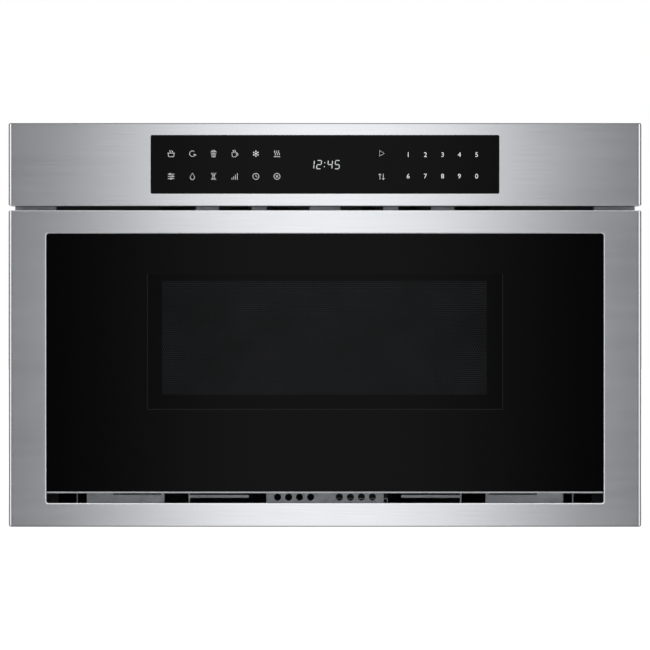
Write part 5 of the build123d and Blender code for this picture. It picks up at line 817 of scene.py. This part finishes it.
satin, tree, shader, place = finish("satin_steel_strip", "#d0d2d5", Metallic=1.0, Roughness=0.3)
lines = noise(tree, place, 0.6, (60, 1, 1))
link(tree, shader,
     Base_Color=mottle(tree, lines, "#c6c8cb", "#d8dadc"),
     Roughness=spread(tree, lines, 0.26, 0.36),
     Normal=relief(tree, lines, 0.005, 0.0003))
bm = bmesh.new()
solid(bm, *([bm.verts.new((x, *point)) for point in STRIP_OUTLINE] for x in (-STRIP_HALF, STRIP_HALF)))
bmesh.ops.recalc_face_normals(bm, faces=bm.faces)
piece("glass_edge_strip", bm, satin, "drawer", 0)


# ---- drawer front and control panel fascia: brushed stainless steel ----
# Both are folded trays of 1.2 mm stainless sheet, brushed from side to side before folding.
# The brushing spreads reflections up and down, so that a tall light shows as one wide glow.
BRUSH_STROKE = 0.6             # millimetres; drawn from 0.2 so that the strokes show
SIDE_ROUND = 0.0045            # from an outer side to where its fold starts to turn the light
EDGE_ROUND = 0.0010            # the same at the other edges
FOLD_SHADE_WIDTH = 0.0012             # width of the painted shade line on the outer folds, a darker colour for the shade at their edge
FACE_HALF = cad_box[1][0]
FACE_MIDDLE = (cad_box[0][2] + cad_box[1][2]) / 2          # of both faces together
FACE_HALF_HEIGHT = (cad_box[1][2] - cad_box[0][2]) / 2
steel, tree, shader, place = finish("brushed_stainless_steel", "#d3d5d9", Metallic=1.0, Roughness=0.22,
                                    Anisotropic=1.0)
parts = add(tree, "SeparateXYZ", place).outputs
aside = add(tree, "Math.SUBTRACT", add(tree, "Math.ABSOLUTE", parts["X"]), FACE_HALF)
upright = add(tree, "Math.ABSOLUTE", add(tree, "Math.SUBTRACT", parts["Z"], FACE_MIDDLE))
# painted shade: a darker colour on the outermost strip of the outer folds, for the dark edge they show
painted_fold_shade = add(tree, "Math.MAXIMUM", aside, add(tree, "Math.SUBTRACT", upright, FACE_HALF_HEIGHT))
painted_fold_shade = add(tree, "Math.MULTIPLY", spread(tree, painted_fold_shade, 0.0, 1.0, -FOLD_SHADE_WIDTH * 1.15, -FOLD_SHADE_WIDTH * 0.85),
          add(tree, "Math.LESS_THAN", parts["Y"], FACE_PLANE + FOLD_SHADE_WIDTH))
# the side folds' round section, as a height in metres over the distance across it
across = add(tree, "Math.MAXIMUM", add(tree, "Math.ADD", aside, SIDE_ROUND), 0.0)
across = add(tree, "Math.MINIMUM", across, SIDE_ROUND * 0.97)
fold = add(tree, "Math.SUBTRACT", SIDE_ROUND ** 2, add(tree, "Math.POWER", across, 2.0))
fold = add(tree, "Math.SQRT", fold)
turned = relief(tree, fold, 1000, EDGE_ROUND)
strokes = noise(tree, place, BRUSH_STROKE, (120, 1, 1), 4.0)
bands = noise(tree, place, 9.0, (40, 1, 1), 2.0)
smudges = noise(tree, place, 60.0, (1.4, 1, 1), 3.0)
# the colour: brushing strokes, with the painted shade line along the outer folds' edges
link(tree, shader,
     Base_Color=tint(tree, painted_fold_shade, mottle(tree, strokes, "#cfd1d5", "#d8dadd"), "#75777a"),
     Roughness=add(tree, "Math.ADD", spread(tree, bands, 0.212, 0.228),
                   spread(tree, smudges, -0.006, 0.01)),
     Tangent=add(tree, "Tangent", direction_type="RADIAL", axis="X"),
     Normal=relief(tree, strokes, 0.005, turned))
dress(steel, "drawer_front_frame", "control_panel_frame")


# ---- control panel: housing, board and display behind the glass ----
# A black moulded tray carries the glass and the printed board, whose larger parts stand on its
# back. The board has a green solder mask with tinned pads, and the display a dark, satin window.
dress(moulded, "panel_housing")

CONTROL_BOARD_BACK = -0.01735
circuit, tree, shader, place = finish("control_board_and_parts", "#2c6a47", Roughness=0.35)
parts = add(tree, "SeparateXYZ", place).outputs
behind = add(tree, "Math.GREATER_THAN", parts["Y"], CONTROL_BOARD_BACK)
tracks = noise(tree, place, 5.0, (4, 1, 0.5), 0.0)
pads = specks(tree, place, 5.0, 0.2, 0.4)
mask = tint(tree, spread(tree, tracks, 0, 1, 0.47, 0.5), "#2a6243", "#347551")
chips = mottle(tree, noise(tree, place, 2.0), "#1b1c1e", "#26272a")
link(tree, shader,
     Base_Color=tint(tree, behind, tint(tree, pads, mask, "#b9bbb6"), chips),
     Roughness=spread(tree, noise(tree, place, 8.0), 0.28, 0.42),
     Normal=relief(tree, tracks, 0.02, 0.0003))
dress(circuit, "control_board")

display, tree, shader, place = finish("moulded_display_window", "#0c0d0d", Roughness=0.3, IOR=1.49)
link(tree, shader,
     Base_Color=mottle(tree, noise(tree, place, 4.0), "#0a0b0b", "#101112"),
     Roughness=spread(tree, noise(tree, place, 6.0), 0.24, 0.36),
     Normal=relief(tree, noise(tree, place, 1.0), 0.01, 0.0003))
dress(display, "display_module")


# ---- control glass: black-printed glass with touch keys ----
# A 3 mm pane printed black on its back, flush with the fascia. It is an even, deep black, and
# the keys are only places on it.
cover, tree, shader, place = finish("black_printed_control_glass", "#0b0b0c", Roughness=0.08, IOR=1.5,
                                    Specular_IOR_Level=0.06)
link(tree, shader,
     Base_Color=mottle(tree, noise(tree, place, 60.0), "#060607", "#080809"),
     Roughness=spread(tree, noise(tree, place, 60.0), 0.06, 0.1))
dress(cover, "control_glass")


# ---- key marks: white ink on the glass ----
# Plain figures stand on the number keys, and simple signs on the other keys, where the real
# panel has words. The ink is screen-printed, matt and 0.03 mm thick.
INK = 0.00003
LINE = 0.00030                 # half the width of a printed line
# millimetres, along X and Z
KEY_COLUMNS = (-184.5, -159.0, -133.6, -108.3, -82.9, -57.6)
KEY_ROWS = (425.4, 398.2)
START_COLUMN = 67.9
START_ROWS = (425.8, 397.9)
FIGURE_COLUMNS = (99.8, 120.4, 141.0, 161.1, 181.8)
FIGURE_ROWS = (424.3, 398.5)
FIGURES = "1234567890"
FIGURE_HEIGHT = 5.6
SIGN_SIZE = 1.35               # the signs are drawn 6 mm high, and printed this much larger


def arc(x, z, radius, start=0, end=360, steps=20):
    """Points round part of a circle, in millimetres and degrees."""
    turns = [math.radians(start + (end - start) * step / steps) for step in range(steps + 1)]
    return [(x + radius * math.cos(turn), z + radius * math.sin(turn)) for turn in turns]


def wavy(x, low, high, swing=0.45, steps=10):
    """A rising wisp."""
    return [(x + swing * math.sin(2 * math.pi * step / steps), low + (high - low) * step / steps)
            for step in range(steps + 1)]


pot = [[(-2.5, 0.5), (-2.5, -2.0), (-1.9, -2.7), (1.9, -2.7), (2.5, -2.0), (2.5, 0.5)],
       [(-3.3, 0.5), (3.3, 0.5)], wavy(-1.0, 1.3, 2.9), wavy(1.0, 1.3, 2.9)]
again = [arc(0, 0, 2.5, 50, 350), [(1.0, -0.9), (2.46, -0.44), (3.2, -1.8)]]
corn = [[(-2.0, 0.5), (-1.4, -2.9), (1.4, -2.9), (2.0, 0.5), (-2.0, 0.5)],
        arc(-1.3, 1.4, 0.95, -20, 200, 10), arc(0.0, 2.1, 0.95, -20, 200, 10),
        arc(1.3, 1.4, 0.95, -20, 200, 10), [(-0.6, 0.5), (-0.45, -2.9)], [(0.6, 0.5), (0.45, -2.9)]]
cup = [[(-2.5, 1.0), (-2.1, -2.4), (-1.7, -2.8), (0.9, -2.8), (1.3, -2.4), (1.7, 1.0), (-2.5, 1.0)],
       arc(1.7, -0.6, 1.2, 95, -75, 12), wavy(-1.2, 1.7, 3.1), wavy(0.4, 1.7, 3.1)]
crystal = []
for turn in range(6):
    heading = math.radians(30 + 60 * turn)
    crystal.append([(0, 0), (2.9 * math.cos(heading), 2.9 * math.sin(heading))])
    fork = (1.7 * math.cos(heading), 1.7 * math.sin(heading))
    for side in (-40, 40):
        twig = heading + math.radians(side)
        crystal.append([fork, (fork[0] + math.cos(twig), fork[1] + math.sin(twig))])
warm = [wavy(x, -1.4, 2.8, 0.55, 16) for x in (-1.8, 0.0, 1.8)] + [[(-2.9, -2.7), (2.9, -2.7)]]
sliders = []
for level, knob in ((2.0, -1.0), (0.0, 1.2), (-2.0, -0.2)):
    sliders += [[(-2.9, level), (knob - 0.65, level)], [(knob + 0.65, level), (2.9, level)],
                arc(knob, level, 0.65, 0, 360, 12)]
drop = [[(0, 2.9), (-1.75, -0.1)] + arc(0, -0.95, 1.95, 154, 386, 18) + [(0, 2.9)]]
hourglass = [[(-2.1, 2.8), (2.1, 2.8), (0.3, 0.0), (2.1, -2.8), (-2.1, -2.8), (-0.3, 0.0), (-2.1, 2.8)],
             [(-1.0, 1.3), (1.0, 1.3)], [(-1.0, -2.0), (1.0, -2.0)]]
levels = [[(x, -2.8), (x, top)] for x, top in ((-2.4, -1.2), (-0.8, 0.1), (0.8, 1.4), (2.4, 2.8))]
dial = [arc(0, 0, 2.7), [(0, 1.6), (0, 0), (1.2, -0.8)]]
cross = [arc(0, 0, 2.7), [(-1.1, -1.1), (1.1, 1.1)], [(-1.1, 1.1), (1.1, -1.1)]]
go = [[(-1.8, 2.5), (2.4, 0), (-1.8, -2.5), (-1.8, 2.5)]]
in_out = [[(-1.5, -2.6), (-1.5, 2.6)], [(-2.7, 1.4), (-1.5, 2.6), (-0.3, 1.4)],
          [(1.5, 2.6), (1.5, -2.6)], [(2.7, -1.4), (1.5, -2.6), (0.3, -1.4)]]
SIGNS = [(pot, again, corn, cup, crystal, warm), (sliders, drop, hourglass, levels, dial, cross)]
placed = [(sign, x, z) for row, z in zip(SIGNS, KEY_ROWS) for sign, x in zip(row, KEY_COLUMNS)]
placed += [(sign, START_COLUMN, z) for sign, z in zip((go, in_out), START_ROWS)]

drawing = bpy.data.curves.new("key_signs", "CURVE")
drawing.dimensions = "3D"
drawing.bevel_depth = LINE
drawing.bevel_resolution = 0
drawing.use_fill_caps = True
for sign, x, z in placed:
    for points in sign:
        line = drawing.splines.new("POLY")
        closed = len(points) > 2 and points[0] == points[-1]
        points = points[:-1] if closed else points
        line.points.add(len(points) - 1)
        line.use_cyclic_u = closed
        for point, (across, up) in zip(line.points, points):
            point.co = ((x + across * SIGN_SIZE) / 1000, FACE_PLANE, (z + up * SIGN_SIZE) / 1000, 1)


def as_mesh(curve):
    """The mesh of a curve or a text, without its object."""
    holder = bpy.data.objects.new(curve.name, curve)
    scene.collection.objects.link(holder)
    mesh = bpy.data.meshes.new_from_object(holder)
    bpy.data.objects.remove(holder)
    return mesh


bm = bmesh.new()
bm.from_mesh(as_mesh(drawing))
for vert in bm.verts:
    vert.co.y = FACE_PLANE + (vert.co.y - FACE_PLANE) * INK / LINE
for index, figure in enumerate(FIGURES):
    text = bpy.data.curves.new("figure_" + figure, "FONT")
    text.body = figure
    text.extrude = INK
    text.resolution_u = 4
    mesh = as_mesh(text)
    low, high = ([pick(vert.co[axis] for vert in mesh.vertices) for axis in (0, 1)]
                 for pick in (min, max))
    size = FIGURE_HEIGHT / 1000 / (high[1] - low[1])
    x, z = FIGURE_COLUMNS[index % 5] / 1000, FIGURE_ROWS[index // 5] / 1000
    for vert in mesh.vertices:
        across = (vert.co.x - (low[0] + high[0]) / 2) * size + x
        up = (vert.co.y - (low[1] + high[1]) / 2) * size + z
        vert.co = (across, FACE_PLANE - vert.co.z, up)
    bm.from_mesh(mesh)
bmesh.ops.recalc_face_normals(bm, faces=bm.faces)
ink, tree, shader, place = finish("white_screen_ink", "#f0f0f0", Roughness=0.55)
link(tree, shader,
     Base_Color=mottle(tree, noise(tree, place, 0.5), "#ebecec", "#f4f5f5"),
     Roughness=spread(tree, noise(tree, place, 0.6), 0.5, 0.62),
     Normal=relief(tree, noise(tree, place, 0.3), 0.002))
piece("key_marks", bm, ink, "chassis", 0)


# ---- clock: lit segments behind the glass ----
# Four figures of seven bars each and a colon, leaning a little, as on any kitchen clock. They
# shine through the printed glass, so they are drawn on its face and give their own light.
CLOCK_TIME = "1245"
CLOCK_MIDDLE = 412.3
CLOCK_COLUMNS = (-15.7, -7.1, 6.1, 14.7)
COLON_COLUMN = -0.5
COLON_RISE = 2.4
DOT_RADIUS = 0.62
BAR_WIDTH = 0.95
BAR_GAP = 0.2
DIGIT_WIDTH = 5.1              # between the middles of the upright bars
DIGIT_HEIGHT = 10.0
LEAN = math.tan(math.radians(5.5))
BARS = {"1": "bc", "2": "abged", "4": "fgbc", "5": "afgcd"}


def slab(bm, points):
    """A thin closed plate on the glass from its outline in millimetres, leaning."""
    leaning = [((x + (z - CLOCK_MIDDLE) * LEAN) / 1000, z / 1000) for x, z in points]
    solid(bm, *([bm.verts.new((x, depth, z)) for x, z in leaning]
                for depth in (FACE_PLANE + INK / 2, FACE_PLANE - INK)))


def bar(bm, start, end):
    """A bar with pointed ends between two corners of a digit."""
    (x0, z0), (x1, z1) = start, end
    length = math.hypot(x1 - x0, z1 - z0)
    along = ((x1 - x0) / length, (z1 - z0) / length)
    aside = (-along[1] * BAR_WIDTH / 2, along[0] * BAR_WIDTH / 2)
    tips, shoulders = ([inset, length - inset] for inset in (BAR_GAP, BAR_GAP + BAR_WIDTH / 2))
    corners = [(tips[0], 0), (shoulders[0], 1), (shoulders[1], 1),
               (tips[1], 0), (shoulders[1], -1), (shoulders[0], -1)]
    slab(bm, [(x0 + along[0] * reach + aside[0] * side, z0 + along[1] * reach + aside[1] * side)
              for reach, side in corners])


bm = bmesh.new()
for figure, x in zip(CLOCK_TIME, CLOCK_COLUMNS):
    left, right = x - DIGIT_WIDTH / 2, x + DIGIT_WIDTH / 2
    bottom, top = CLOCK_MIDDLE - DIGIT_HEIGHT / 2, CLOCK_MIDDLE + DIGIT_HEIGHT / 2
    ends = {"a": ((left, top), (right, top)), "b": ((right, CLOCK_MIDDLE), (right, top)),
            "c": ((right, bottom), (right, CLOCK_MIDDLE)), "d": ((left, bottom), (right, bottom)),
            "e": ((left, bottom), (left, CLOCK_MIDDLE)), "f": ((left, CLOCK_MIDDLE), (left, top)),
            "g": ((left, CLOCK_MIDDLE), (right, CLOCK_MIDDLE))}
    for name in BARS[figure]:
        bar(bm, *ends[name])
for rise in (-COLON_RISE, COLON_RISE):
    slab(bm, arc(COLON_COLUMN, CLOCK_MIDDLE + rise, DOT_RADIUS, 0, 330, 11))
bmesh.ops.recalc_face_normals(bm, faces=bm.faces)
segments, tree, shader, place = finish("lit_display_segments", "#c9cdcd", Roughness=0.4,
                                       Emission_Strength=0.55)
uneven = noise(tree, place, 3.0)
link(tree, shader,
     Base_Color=mottle(tree, uneven, "#8b9090", "#a7acac"),
     Emission_Color=mottle(tree, uneven, "#c3c8c8", "#dfe3e3"),
     Roughness=spread(tree, uneven, 0.36, 0.46))
piece("clock_figures", bm, segments, "chassis", 0)
